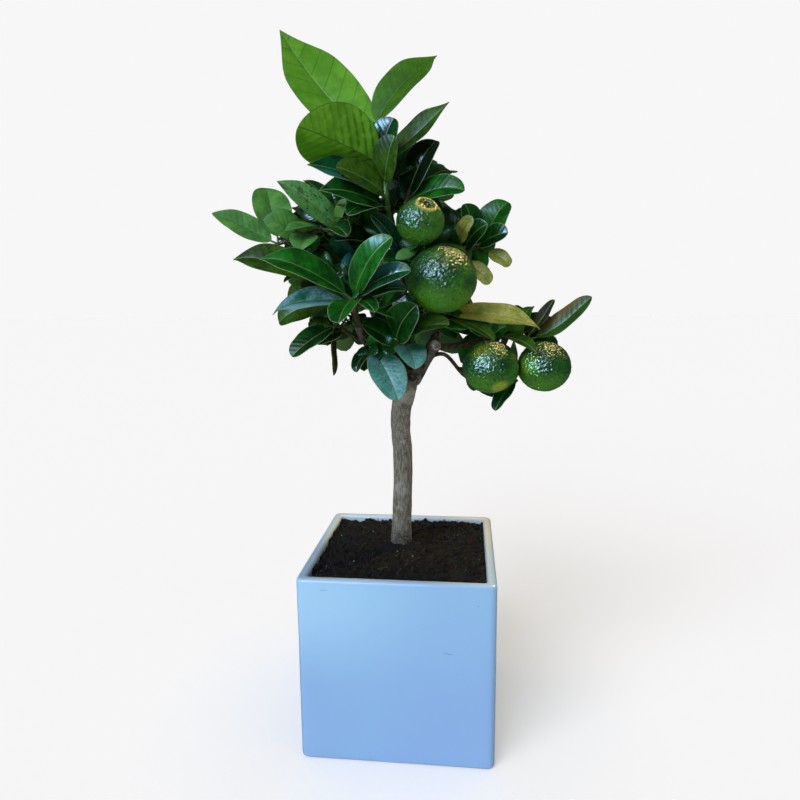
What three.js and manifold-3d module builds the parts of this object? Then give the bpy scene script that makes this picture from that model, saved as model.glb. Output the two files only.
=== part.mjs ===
// A potted rangpur lime: a small citrus tree with four green fruits in front, in a square glazed pot.
// Millimetres, +Z up. The origin is the middle of the pot's flat underside, and the pot's front faces -Y.
// A direction is a heading and a rise in degrees: heading 0 is +X (right), 90 is +Y (back), -90 is front.

import * as THREE from "three";
import { mergeVertices } from "three/addons/utils/BufferGeometryUtils.js";
import Module from "manifold-3d";

const wasm = await Module();
wasm.setup();

// Driving dimensions

const POT_SIDE = 162;
const POT_HEIGHT = 160;
const POT_WALL = 8;
const POT_FLOOR = 10;
const POT_CORNER = 6; // radius of the upright corners outside
const POT_EDGE = 3; // radius of the rounded rim and foot
const CORNER_STEPS = 4;

const SOIL_LEVEL = 159;
const SOIL_LUMP = 1.6; // how far the surface rises and falls
const SOIL_FLAT = 15; // radius of the level patch that the trunk stands on

const GAP = 0.3; // between solids that meet

const TWIG_RADIUS = 1.4;
const TWIG_END = 0.98; // radius at a twig's tip
const STALK_RADIUS = 1.3;
const TWIG_SIDES = 3;
const STALK_SIDES = 4;
const TWIGS_TRIED = 400; // in each mass, until it has its share of leaves
const LEAVES_A_TWIG = 6;
const LEAST_ON_TWIG = 3; // a twig that could keep fewer isn't grown
const STEM_SIDES = 5;
const BOUGH_SIDES = 7;
const TRUNK_SIDES = 12;

const LEAF_RATIO = 0.5; // width over length
const LEAF_THICK = 0.015; // thickness over length
const LEAF_LEAST = 0.8; // the least thickness
const LEAF_ARCH = 32; // degrees that a midrib bends over its length
const LEAF_FOLD = 14; // degrees that each half of a blade is raised
const PETIOLE_SHARE = 0.11; // share of a leaf's length
const PETIOLE_HALF = 0.7;
const ROOT_HALF = 0.4; // where a leaf is sunk in its twig
const BLADE_BASE_POWER = 0.6; // how blunt the blade is at its base
const BLADE_TIP_POWER = 0.65; // how pointed it is at its tip
const LONG_LEAF = 60;
const LONG_STATIONS = [0.1, 0.33, 0.6, 0.86]; // where the blade of a long leaf that shows is measured
const BLADE_STATIONS = [0.14, 0.46, 0.85]; // the same for a shorter one
const PLAIN_STATIONS = [0.3, 0.76]; // the same for a leaf of the filling, which is flat

// The seeded rule: angles in degrees, shares of a length from 0 to 1. A pair is a range.

const GOLDEN_ANGLE = 137.5; // from one twig, or one leaf, to the next
const GOLDEN_SHARE = 0.618; // from one twig to the next along the stem
const SEED_TURN = 111.6; // how far the first twig is turned for each step of the seed
const HEADING_SPREAD = 40;
const TWIG_RISE = [-15, 50];
const TWIG_REACH = [0.7, 1.3]; // over the mass's own reach
const TWIG_ROLL = 60; // how far the leaves of one twig are turned from those of the last
const FIRST_TWIG = 0.25; // where the lowest twig may start
const FIRST_LEAF = 0.3; // where a twig's lowest leaf is
const LEAF_OPENING = [68, 18]; // angle to the twig, from its lowest leaf to its end leaf
const OPENING_SPREAD = 14;
const ROUND_SPREAD = 90;
const LEAF_SIZES = [0.75, 1.2]; // over the mass's own leaf length
const LEAF_TURN = 25; // either way about the midrib

// The trunk and the boughs: points on the centreline, each with the radius there

const LIMBS = {
  trunk: {
    sides: TRUNK_SIDES,
    steps: 11,
    points: [
      [-4, 6, SOIL_LEVEL - 8, 12],
      [-3.4, 5.6, SOIL_LEVEL + 3, 9.1],
      [-3, 5, 174, 8.5],
      [-2, 4, 202, 8.1],
      [-1.2, 3, 246, 8.2],
      [-3, 2, 268, 8.2],
      [-2, 1, 286, 8.4],
      [2, 0, 304, 9.2],
      [5.5, 0, 322, 9.6],
    ],
  },
  bough_left: {
    parent: "trunk",
    points: [
      [3, -2, 314, 7],
      [-15, -10, 334, 5.6],
      [-26, -28, 347, 4.8],
      [-31, -50, 362, 3.6],
    ],
  },
  bough_right: {
    parent: "trunk",
    points: [
      [7, 0, 312, 7.2],
      [19, -3, 331, 6.2],
      [30, -12, 345, 5.2],
    ],
  },
  leader: {
    parent: "trunk",
    points: [
      [5, 1, 316, 6.6],
      [4, 6, 350, 5.6],
      [-2, 4, 390, 4.6],
      [-5, -8, 425, 3.8],
      [-8, -26, 452, 2.8],
    ],
  },
  bough_left_high: {
    parent: "leader",
    points: [
      [2, 6, 362, 3.8],
      [-20, 6, 392, 3.4],
      [-42, 1, 427, 2.6],
    ],
  },
  bough_right_high: {
    parent: "leader",
    points: [
      [3, 5, 368, 3.8],
      [18, 6, 392, 3.2],
      [34, 2, 414, 2.6],
    ],
  },
  bough_back_left: {
    parent: "trunk",
    points: [
      [0, 3, 311, 6],
      [-14, 26, 336, 4.8],
      [-34, 48, 372, 3],
    ],
  },
  bough_back_right: {
    parent: "trunk",
    points: [
      [8, 4, 312, 6],
      [22, 28, 338, 4.8],
      [40, 46, 372, 3],
    ],
  },
  bough_back_high: {
    parent: "leader",
    points: [
      [-1, 5, 384, 3.6],
      [2, 26, 414, 3],
      [4, 42, 444, 2.4],
    ],
  },
};

// The masses of foliage. Each one grows from a limb on one stem, whose points carry a radius as a limb's do.
// A row of its leaves is one leaf that shows: its place along the stem from 0 to 1, heading, rise, length,
// turn about the midrib, width and, where it isn't the usual one, arch. A leaf's face turns to the mass's
// facing. Seeded twigs of about the given reach bear the filling, and their leaves' tips stay in the space.

const MASSES = {
  leaves_top: {
    limb: "leader",
    stem: [
      [-8, -27, 450, 2.4],
      [-9, -34, 464, 2.3],
      [-14, -24, 492, 2.1],
      [-21, -16, 523, 1.6],
    ],
    facing: [-90, 20],
    leaves: [
      [0.85, 172, 48, 126, 19, 58, -56],
      [0.97, 23, 47, 80, -21, 38],
      [0.62, -133, 12, 80, 121, 56],
      [0.6, -50, 65, 38, -22, 30],
      [0.66, -6, 38, 68, -26, 28, -20],
      [0.42, -65, 55, 40, -30, 30],
      [0.32, -143, 22, 47, 23, 30],
      [0.26, -155, 20, 68, 32, 30],
      [0.06, -133, 9, 67, 15, 30],
      [0.1, -126, -8, 46, 23, 22],
    ],
    fruits: [],
    filling: 4,
    reach: 16,
    leafLength: 46,
    space: { centre: [-5, 4, 480], radii: [48, 46, 44] },
    seed: 11,
  },
  leaves_top_right: {
    limb: "leader",
    stem: [
      [-3, -6, 420, 2.2],
      [2, -16, 446, 2],
      [9, -26, 468, 1.6],
    ],
    facing: [-90, 25],
    leaves: [
      [0.75, -7, 65, 56, -32, 36],
      [0.9, 45, 29, 59, -15, 28],
      [0.8, -30, 7, 54, -11, 26],
    ],
    fruits: [],
    filling: 9,
    reach: 16,
    leafLength: 44,
    space: { centre: [14, 10, 462], radii: [38, 50, 42] },
    seed: 12,
  },
  leaves_left_high: {
    limb: "bough_left_high",
    stem: [
      [-40, 1, 425, 2.2],
      [-54, -12, 440, 2],
      [-75, -20, 437, 1.8],
      [-106, -16, 428, 1.5],
    ],
    facing: [-90, 15],
    leaves: [
      [0.97, -167, 27, 59, 29, 26, -10],
      [0.97, 126, 63, 60, 30, 34],
      [0.72, -137, 16, 38, -2, 24],
      [0.68, -93, -32, 30, -3, 24],
      [0.5, -128, -5, 40, 42, 18],
      [0.2, -151, 37, 71, 27, 26],
      [0.25, 164, 55, 59, 50, 22],
      [0.45, -58, -10, 42, -27, 20],
      [0.3, -61, 48, 30, -34, 16],
      [0.5, 136, 28, 51, 30, 20],
    ],
    fruits: [],
    filling: 14,
    reach: 20,
    leafLength: 46,
    space: { centre: [-72, 14, 432], radii: [60, 56, 38] },
    seed: 13,
  },
  leaves_left_front: {
    limb: "bough_left",
    stem: [
      [-30.5, -48, 360.5, 2.6],
      [-29, -74, 375, 2.4],
      [-28, -86, 382, 2],
    ],
    facing: [-90, 30],
    leaves: [
      [0.97, -167, 27, 75, 30, 32],
      [0.98, -41, 47, 59, -4, 25],
      [0.97, -12, 36, 41, -21, 22],
      [0.97, -29, 23, 55, -13, 22],
      [0.85, -8, 15, 42, -27, 20],
      [0.97, -94, -19, 44, 12, 24],
      [0.97, -53, -11, 34, -28, 16],
      [0.88, 174, -5, 68, 24, 26],
      [0.7, -174, 30, 33, 36, 14],
      [0.1, 28, -28, 33, -22, 26],
    ],
    fruits: [],
    filling: 3,
    reach: 20,
    leafLength: 44,
    space: { centre: [-34, -70, 380], radii: [54, 40, 40] },
    seed: 14,
  },
  leaves_left_mid: {
    limb: "bough_left",
    stem: [
      [-29, -40, 354, 2.2],
      [-39, -41, 376, 2],
      [-52, -48, 391, 1.9],
      [-70, -53, 401, 1.5],
    ],
    facing: [-90, 10],
    leaves: [
      [0.8, -170, 18, 74, 39, 32],
      [0.55, -173, -22, 55, 27, 32],
      [0.92, -155, -4, 24, 56, 14],
    ],
    fruits: [],
    filling: 12,
    reach: 20,
    leafLength: 44,
    space: { centre: [-58, -20, 396], radii: [52, 48, 36] },
    seed: 15,
  },
  leaves_left_low: {
    limb: "bough_left",
    stem: [
      [-24, -26, 345, 2.2],
      [-38, -38, 353, 1.9],
      [-48, -60, 364, 1.5],
    ],
    facing: [-90, 40],
    leaves: [
      [0.9, -142, -29, 46, 13, 24],
      [0.72, -144, -19, 27, 10, 22],
      [0.97, 95, -81, 42, -89, 16, -40],
    ],
    fruits: [],
    filling: 10,
    reach: 18,
    leafLength: 44,
    space: { centre: [-52, -16, 360], radii: [42, 48, 24] },
    seed: 16,
  },
  leaves_low_front: {
    limb: "bough_left",
    stem: [
      [-17, -13, 336, 2],
      [-21, -26, 342, 1.8],
      [-23, -38, 343, 1.6],
    ],
    facing: [-90, 20],
    leaves: [
      [0.97, -40, -51, 52, -20, 30],
      [0.9, -128, -45, 26, 32, 16],
    ],
    fruits: [],
    filling: 0,
    reach: 12,
    leafLength: 36,
    space: { centre: [-20, -40, 335], radii: [40, 36, 24] },
    seed: 17,
  },
  leaves_centre: {
    limb: "bough_right",
    stem: [
      [16, -4, 328, 2.2],
      [9, -28, 343, 2],
      [-1, -50, 350, 1.6],
    ],
    facing: [-90, 25],
    leaves: [
      [0.97, -63, 35, 49, 9, 28],
      [0.97, -33, 17, 53, -33, 24],
      [0.7, -70, -25, 37, -23, 26],
    ],
    fruits: [],
    filling: 10,
    reach: 16,
    leafLength: 42,
    space: { centre: [0, -20, 366], radii: [34, 50, 30] },
    seed: 18,
  },
  leaves_fruit_pair: {
    limb: "leader",
    stem: [
      [-3, 0, 402, 2.4],
      [6, -18, 412, 2.2],
      [20, -34, 418, 1.8],
    ],
    facing: [-90, 20],
    leaves: [
      [0.5, -103, -8, 50, -9, 24],
      [0.3, -120, 44, 57, 32, 20],
    ],
    fruits: [
      { at: 0.85, centre: [36, -64, 396], radius: 26.7 },
      { at: 1, centre: [19.8, -62, 439], radius: 18.3 },
    ],
    filling: 8,
    reach: 14,
    leafLength: 40,
    space: { centre: [12, -24, 420], radii: [46, 40, 44] },
    seed: 19,
  },
  leaves_shelf: {
    limb: "leader",
    stem: [
      [4, 5, 357, 2.2],
      [16, -16, 366, 2],
      [36, -34, 369, 1.6],
    ],
    facing: [-90, 45],
    leaves: [
      [0.97, -12, -5, 81, -7, 26],
      [0.9, -33, -17, 57, -19, 18],
    ],
    fruits: [],
    filling: 10,
    reach: 14,
    leafLength: 42,
    space: { centre: [46, -12, 380], radii: [50, 44, 34] },
    seed: 20,
  },
  leaves_right_high: {
    limb: "bough_right_high",
    stem: [
      [33, 2, 413, 2.2],
      [50, 2, 423, 2],
      [68, 6, 427, 1.6],
    ],
    facing: [-90, 10],
    leaves: [
      [0.97, -12, 60, 42, -28, 30],
      [0.9, -43, 16, 33, -33, 24],
      [0.7, -104, 72, 37, 38, 26],
      [0.6, -65, 24, 40, -22, 22],
      [0.5, -83, 22, 53, -30, 15],
      [0.85, -32, -28, 37, -20, 15],
      [0.3, -36, -32, 46, -22, 16],
    ],
    fruits: [],
    filling: 14,
    reach: 16,
    leafLength: 42,
    space: { centre: [44, 26, 426], radii: [40, 56, 38] },
    seed: 21,
  },
  leaves_right_low: {
    limb: "bough_right",
    stem: [
      [28, -9, 341, 2.8],
      [54, -10, 344, 2.5],
      [80, -10, 350, 2.2],
      [109, -16, 348, 1.7],
    ],
    facing: [-90, 35],
    leaves: [
      [0.97, -11, 38, 60, -25, 24, -60],
      [0.94, 12, 55, 40, -41, 16, -20],
      [0.88, 53, 58, 33, -40, 18],
      [0.55, 175, 42, 23, 24, 18],
      [0.62, -58, -7, 63, -23, 16],
      [0.6, -1, 32, 21, -22, 18],
    ],
    fruits: [
      { at: 0.7, centre: [74.5, -38, 327.5], radius: 22.7 },
      { at: 0.96, centre: [117.5, -31, 327.3], radius: 21.6 },
    ],
    filling: 12,
    reach: 18,
    leafLength: 42,
    space: { centre: [84, 14, 350], radii: [58, 52, 28] },
    seed: 22,
  },
  leaves_droop: {
    limb: "bough_right",
    stem: [
      [23, -6, 333, 2],
      [36, -6, 335, 1.8],
      [56, -8, 315, 1.6],
      [86, -10, 306, 1.4],
      [98, -14, 314, 1.2],
    ],
    facing: [-90, 20],
    leaves: [
      [0.97, -131, -39, 35, 39, 17],
    ],
    fruits: [],
    filling: 5,
    reach: 12,
    leafLength: 34,
    space: { centre: [88, 14, 318], radii: [46, 46, 26] },
    seed: 23,
  },
  leaves_back_left: {
    limb: "bough_back_left",
    stem: [
      [-33, 47, 371, 2.6],
      [-46, 58, 385, 2.2],
      [-56, 64, 400, 1.6],
    ],
    facing: [125, 40],
    leaves: [],
    fruits: [{ at: 0.6, centre: [-60, 86, 388], radius: 21 }],
    filling: 26,
    reach: 26,
    leafLength: 52,
    space: { centre: [-58, 68, 396], radii: [62, 62, 56] },
    seed: 24,
  },
  leaves_back_right: {
    limb: "bough_back_right",
    stem: [
      [39.5, 45.5, 371, 2.6],
      [46, 54, 388, 2.2],
      [46, 60, 402, 1.6],
    ],
    facing: [55, 40],
    leaves: [],
    fruits: [{ at: 0.5, centre: [40, 78, 372], radius: 22 }],
    filling: 24,
    reach: 26,
    leafLength: 52,
    space: { centre: [34, 74, 390], radii: [42, 62, 56] },
    seed: 25,
  },
  leaves_back_high: {
    limb: "bough_back_high",
    stem: [
      [3.8, 41, 443, 2.2],
      [2, 46, 462, 2],
      [-4, 48, 480, 1.6],
    ],
    facing: [90, 45],
    leaves: [],
    fruits: [{ at: 0.4, centre: [14, 66, 434], radius: 19 }],
    filling: 26,
    reach: 24,
    leafLength: 50,
    space: { centre: [0, 58, 468], radii: [52, 62, 58] },
    seed: 26,
  },
  leaves_inner_left: {
    limb: "leader",
    stem: [
      [-4, 0, 410, 2.2],
      [-18, 4, 430, 2],
      [-28, 4, 446, 1.6],
    ],
    facing: [-110, 40],
    leaves: [],
    fruits: [],
    filling: 16,
    reach: 18,
    leafLength: 46,
    space: { centre: [-36, 4, 450], radii: [44, 44, 36] },
    seed: 27,
  },
  leaves_back_low: {
    limb: "leader",
    stem: [
      [4, 9, 350, 2.4],
      [2, 30, 354, 2.2],
      [0, 52, 360, 1.8],
    ],
    facing: [90, 35],
    leaves: [],
    fruits: [],
    filling: 20,
    reach: 24,
    leafLength: 50,
    space: { centre: [0, 62, 356], radii: [64, 60, 42] },
    seed: 28,
  },
};

// Small geometry helpers

const RAD = Math.PI / 180;
const UP = new THREE.Vector3(0, 0, 1);
const between = THREE.MathUtils.lerp;

function direction(heading, rise) {
  const level = Math.cos(rise * RAD);
  const x = level * Math.cos(heading * RAD);
  const y = level * Math.sin(heading * RAD);
  return new THREE.Vector3(x, y, Math.sin(rise * RAD));
}

// The part of a direction that is square to an axis, at length 1.
function squareTo(axis, towards) {
  return towards.clone().addScaledVector(axis, -towards.dot(axis)).normalize();
}

// A repeatable run of numbers from 0 to 1.
function seededNumbers(seed) {
  let state = seed * 7919;
  return () => {
    state = (Math.imul(state, 1664525) + 1013904223) >>> 0;
    return state / 4294967296;
  };
}

// Closed surfaces from a row of loops. Each loop has the same number of points, or a single one at a tip.
function solidFromLoops(loops) {
  const vertices = [];
  const triangles = [];
  const starts = [];
  for (const loop of loops) {
    starts.push(vertices.length / 3);
    for (const p of loop) vertices.push(p.x, p.y, p.z);
  }
  const fan = (start, count, outward) => {
    for (let i = 1; i < count - 1; i++) {
      if (outward) triangles.push(start, start + i, start + i + 1);
      else triangles.push(start, start + i + 1, start + i);
    }
  };
  fan(starts[0], loops[0].length, false);
  for (let k = 0; k + 1 < loops.length; k++) {
    const n = loops[k].length;
    const a = starts[k];
    const b = starts[k + 1];
    for (let i = 0; i < n; i++) {
      const j = (i + 1) % n;
      if (loops[k + 1].length === 1) triangles.push(a + i, a + j, b);
      else triangles.push(a + i, a + j, b + j, a + i, b + j, b + i);
    }
  }
  const last = loops.length - 1;
  if (loops[last].length > 1) fan(starts[last], loops[last].length, true);
  return new wasm.Manifold(
    new wasm.Mesh({
      numProp: 3,
      vertProperties: new Float32Array(vertices),
      triVerts: new Uint32Array(triangles),
    }),
  );
}

// A three.js geometry as a solid, with its shared vertices merged.
function solidFromGeometry(geometry) {
  const bare = new THREE.BufferGeometry().setAttribute("position", geometry.getAttribute("position"));
  if (geometry.index) bare.setIndex(geometry.index);
  const merged = mergeVertices(bare, 1e-3);
  return new wasm.Manifold(
    new wasm.Mesh({
      numProp: 3,
      vertProperties: merged.getAttribute("position").array,
      triVerts: new Uint32Array(merged.index.array),
    }),
  );
}

// Limbs

// A smooth line through points that each carry a radius, measured from 0 to 1 by the points' own spacing.
function centreline(points) {
  const places = points.map(([x, y, z]) => new THREE.Vector3(x, y, z));
  const radii = points.map((p) => new THREE.Vector3(p[3], 0, 0));
  return {
    curve: new THREE.CatmullRomCurve3(places, false, "centripetal"),
    radius: (t) => {
      const scaled = t * (radii.length - 1);
      const k = Math.min(Math.floor(scaled), radii.length - 2);
      return THREE.MathUtils.lerp(radii[k].x, radii[k + 1].x, scaled - k);
    },
  };
}

// A tapering limb with flat ends, or the same limb with room left all round it.
function limbSolid(points, sides, steps, room = 0) {
  const line = centreline(points);
  const frames = line.curve.computeFrenetFrames(steps, false);
  const loops = [];
  for (let k = 0; k <= steps; k++) {
    const t = k / steps;
    const middle = line.curve.getPoint(t);
    if (room && k === 0) middle.addScaledVector(frames.tangents[0], -room);
    if (room && k === steps) middle.addScaledVector(frames.tangents[steps], room);
    const loop = [];
    for (let i = 0; i < sides; i++) {
      const angle = (2 * Math.PI * i) / sides;
      const reach = line.radius(t) + room;
      loop.push(
        middle
          .clone()
          .addScaledVector(frames.normals[k], reach * Math.cos(angle))
          .addScaledVector(frames.binormals[k], reach * Math.sin(angle)),
      );
    }
    loops.push(loop);
  }
  return solidFromLoops(loops);
}

// Leaves

function bladeHalfWidth(u) {
  const widest = BLADE_BASE_POWER / (BLADE_BASE_POWER + BLADE_TIP_POWER);
  const shape = (v) => v ** BLADE_BASE_POWER * (1 - v) ** BLADE_TIP_POWER;
  return (0.5 * shape(u)) / shape(widest);
}

// One leaf: a petiole that opens into a blade, folded along a midrib that arches away from its face.
// The leaf runs from base to a tip that lies along its chord. A plain one is flat on its face.
function leafSolid(leaf, room = 0) {
  const { base, along, face, length, width, plain } = leaf;
  const side = new THREE.Vector3().crossVectors(face, along);
  const arch = leaf.arch * RAD;
  const fold = (plain ? 0 : LEAF_FOLD) * RAD;
  const thick = Math.max(LEAF_THICK * length, LEAF_LEAST);
  const loopAt = (s, half, depth) => {
    const bend = arch * (0.5 - s);
    const forward = (length / arch) * (Math.sin(arch / 2) - Math.sin(bend));
    const lift = (length / arch) * (Math.cos(bend) - Math.cos(arch / 2));
    const middle = base.clone().addScaledVector(along, forward).addScaledVector(face, lift);
    const normal = face.clone().multiplyScalar(Math.cos(bend)).addScaledVector(along, -Math.sin(bend));
    const across = side.clone().multiplyScalar(Math.cos(fold) * (half + room));
    const edge = middle.clone().addScaledVector(normal, Math.sin(fold) * (half + room) + (plain ? depth / 2 : 0));
    const under = middle.clone().addScaledVector(normal, -depth / 2 - room);
    if (plain) return [edge.clone().add(across), edge.sub(across), under];
    const over = middle.clone().addScaledVector(normal, depth / 2 + room);
    return [edge.clone().add(across), over, edge.sub(across), under];
  };
  const loops = [loopAt(0, ROOT_HALF, 2 * ROOT_HALF)];
  if (!plain) loops.push(loopAt(PETIOLE_SHARE, PETIOLE_HALF, 2 * PETIOLE_HALF));
  const stations = length > LONG_LEAF ? LONG_STATIONS : BLADE_STATIONS;
  for (const u of plain ? PLAIN_STATIONS : stations) {
    const s = PETIOLE_SHARE + (1 - PETIOLE_SHARE) * u;
    loops.push(loopAt(s, width * bladeHalfWidth(u), thick));
  }
  loops.push([leafTip(leaf).addScaledVector(along, room)]);
  return solidFromLoops(loops);
}

function leafTip({ base, along, length, arch }) {
  const half = (arch * RAD) / 2;
  return base.clone().addScaledVector(along, (length * Math.sin(half)) / half);
}

// The leaf's place from its row: the face turns to the mass's own side, and then about the midrib.
function leafAt(base, along, facing, turn, size) {
  const face = squareTo(along, facing).applyAxisAngle(along, turn * RAD);
  return { base, along, face, ...size };
}

// Fruit

const FRUIT_DETAIL = 2;
const FRUIT_FLAT = 0.94; // height over width

function fruitSolid({ centre, radius }, room = 0) {
  const ball = new THREE.IcosahedronGeometry(radius + room, FRUIT_DETAIL);
  ball.scale(1, 1, FRUIT_FLAT);
  ball.translate(...centre);
  return solidFromGeometry(ball);
}

// A stalk from the stem to the fruit's shoulder, sunk into both.
function stalkSolid(from, { centre, radius }) {
  const middle = new THREE.Vector3(...centre);
  const inside = middle.clone().addScaledVector(from.clone().sub(middle).normalize(), radius * 0.7);
  const half = from.clone().lerp(inside, 0.5).addScaledVector(UP, 1.5);
  const points = [from, half, inside].map((p) => [p.x, p.y, p.z, STALK_RADIUS]);
  return limbSolid(points, STALK_SIDES, 3);
}

// What has been placed so far, so that no leaf is put through another piece.

const placed = [];

function boxesMeet(a, b) {
  return [0, 1, 2].every((i) => a.min[i] <= b.max[i] && b.min[i] <= a.max[i]);
}

// Whether a solid misses every piece of the other masses and limbs, and its own mass's pieces of these kinds.
function hasRoom(solid, mass, kinds) {
  const box = solid.boundingBox();
  return !placed.some(
    (piece) =>
      (piece.mass !== mass || kinds.includes(piece.kind)) &&
      boxesMeet(piece.box, box) &&
      !piece.solid.intersect(solid).isEmpty(),
  );
}

function place(solid, mass, kind) {
  placed.push({ solid, mass, kind, box: solid.boundingBox() });
}

function inSpace(point, { centre, radii }) {
  const [x, y, z] = point.toArray().map((v, i) => (v - centre[i]) / radii[i]);
  return x * x + y * y + z * z < 1;
}

// Foliage

const SEEDED_MISSES = ["leaf", "fruit", "stem"]; // what a seeded leaf must miss within its own mass
const SHOWN_MISSES = ["fruit"]; // the same for a leaf of the table, which is placed where it shows
const ROOT_SKIP = 0.16; // share of a leaf, at its root, that may touch its neighbours

// The leaf without its root, which is what has to miss the other leaves.
function leafForTest(leaf) {
  const skipped = leaf.length * ROOT_SKIP;
  const base = leaf.base.clone().addScaledVector(leaf.along, skipped);
  return leafSolid({ ...leaf, base, length: leaf.length - skipped }, GAP / 2);
}

function addLeaf(leaf, massName, solids, ownKinds) {
  const whole = leafSolid(leaf);
  if (!hasRoom(leafForTest(leaf), massName, ownKinds)) return false;
  if (!hasRoom(whole, massName, [])) return false;
  place(whole, massName, "leaf");
  solids.push(whole);
  return true;
}

// A seeded twig with leaves round it. Every number is drawn before any test, so that a skipped leaf
// changes nothing that follows it.
function seededTwig(mass, line, index, draw) {
  const at = between(FIRST_TWIG, 1, (index * GOLDEN_SHARE + draw() * 0.2) % 1);
  const heading = index * GOLDEN_ANGLE + mass.seed * SEED_TURN + HEADING_SPREAD * draw();
  const along = direction(heading, between(...TWIG_RISE, draw()));
  const start = line.curve.getPoint(at);
  const end = start.clone().addScaledVector(along, mass.reach * between(...TWIG_REACH, draw()));
  const sideways = squareTo(along, UP);
  const facing = direction(...mass.facing);
  const leaves = [];
  for (let j = 0; j < LEAVES_A_TWIG; j++) {
    const order = j / (LEAVES_A_TWIG - 1);
    const opening = (between(...LEAF_OPENING, order) + OPENING_SPREAD * draw()) * RAD;
    const round = (j * GOLDEN_ANGLE + ROUND_SPREAD * draw() + index * TWIG_ROLL) * RAD;
    const outward = sideways.clone().applyAxisAngle(along, round);
    const way = along.clone().multiplyScalar(Math.cos(opening)).addScaledVector(outward, Math.sin(opening));
    const length = mass.leafLength * between(...LEAF_SIZES, draw());
    const size = { length, width: length * LEAF_RATIO, arch: LEAF_ARCH, plain: true };
    const turn = between(-LEAF_TURN, LEAF_TURN, draw());
    const root = start.clone().lerp(end, between(FIRST_LEAF, 1, order));
    leaves.push(leafAt(root, way, facing, turn, size));
  }
  return { start, end, leaves };
}

// A mass's stem with its fruits on their stalks.
function startMass(name, mass) {
  if (!limbs[mass.limb]) throw new Error(`${name} grows from ${mass.limb}, which isn't there`);
  const line = centreline(mass.stem);
  const stem = limbSolid(mass.stem, STEM_SIDES, 2 * (mass.stem.length - 1));
  const solids = [stem];
  place(stem, name, "stem");
  for (const fruit of mass.fruits) {
    const ball = fruitSolid(fruit);
    const stalk = stalkSolid(line.curve.getPoint(fruit.at), fruit);
    solids.push(ball, stalk);
    place(ball, name, "fruit");
    place(stalk, name, "stem");
  }
  return { line, solids };
}

// The leaves of the table, each in the place where it shows.
function addShownLeaves(name, mass, grown) {
  const facing = direction(...mass.facing);
  const { line, solids } = grown;
  for (const [at, heading, rise, length, turn, width, arch = LEAF_ARCH] of mass.leaves) {
    const size = { length, width, arch };
    const leaf = leafAt(line.curve.getPoint(at), direction(heading, rise), facing, turn, size);
    if (!addLeaf(leaf, name, solids, SHOWN_MISSES)) throw new Error(`${name}: no room for the leaf at ${at}`);
  }
}

// Seeded twigs with their leaves, until the mass has its share.
function addSeededTwigs(name, mass, grown) {
  const { line, solids } = grown;
  const draw = seededNumbers(mass.seed);
  let room = mass.filling;
  for (let i = 0; i < TWIGS_TRIED; i++) {
    const { start, end, leaves } = seededTwig(mass, line, i, draw);
    if (room <= 0) break;
    const points = [start, end].map((p, k) => [p.x, p.y, p.z, k ? TWIG_END : TWIG_RADIUS]);
    const twig = limbSolid(points, TWIG_SIDES, 1);
    if (!hasRoom(twig, name, ["leaf", "fruit"])) continue;
    const placedBefore = placed.length;
    const solidsBefore = solids.length;
    const kept = leaves.filter(
      (leaf) => inSpace(leafTip(leaf), mass.space) && addLeaf(leaf, name, solids, SEEDED_MISSES),
    );
    if (kept.length < LEAST_ON_TWIG) {
      placed.length = placedBefore;
      solids.length = solidsBefore;
      continue;
    }
    room -= kept.length;
    solids.push(twig);
    place(twig, name, "stem");
  }
}

// Pot and soil

// A square outline with round corners, at one height or at a height given for each point.
function squareLoop(half, corner, height) {
  const loop = [];
  const centres = [
    [1, 1],
    [-1, 1],
    [-1, -1],
    [1, -1],
  ];
  centres.forEach(([sx, sy], quarter) => {
    for (let i = 0; i <= CORNER_STEPS; i++) {
      const angle = (Math.PI / 2) * (quarter + i / CORNER_STEPS);
      const x = sx * (half - corner) + corner * Math.cos(angle);
      const y = sy * (half - corner) + corner * Math.sin(angle);
      loop.push(new THREE.Vector3(x, y, typeof height === "function" ? height(x, y) : height));
    }
  });
  return loop;
}

// The outside wall from the foot to the rim, over the rounded rim, and down the inside to the floor.
function potSolid() {
  const half = POT_SIDE / 2;
  const inner = half - POT_WALL;
  const innerCorner = POT_CORNER - POT_EDGE;
  const loops = [];
  const quarter = (steps, visit) => {
    for (let i = 0; i <= steps; i++) visit(((Math.PI / 2) * i) / steps);
  };
  quarter(2, (a) => {
    const inset = POT_EDGE * (1 - Math.sin(a));
    loops.push(squareLoop(half - inset, POT_CORNER - inset, POT_EDGE * (1 - Math.cos(a))));
  });
  quarter(3, (a) => {
    const inset = POT_EDGE * (1 - Math.cos(a));
    loops.push(squareLoop(half - inset, POT_CORNER - inset, POT_HEIGHT - POT_EDGE * (1 - Math.sin(a))));
  });
  quarter(3, (a) => {
    const inset = POT_EDGE * (1 - Math.sin(a));
    loops.push(squareLoop(inner + inset, innerCorner + inset, POT_HEIGHT - POT_EDGE * (1 - Math.cos(a))));
  });
  loops.push(squareLoop(inner, innerCorner, POT_FLOOR));
  return solidFromLoops(loops);
}

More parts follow.
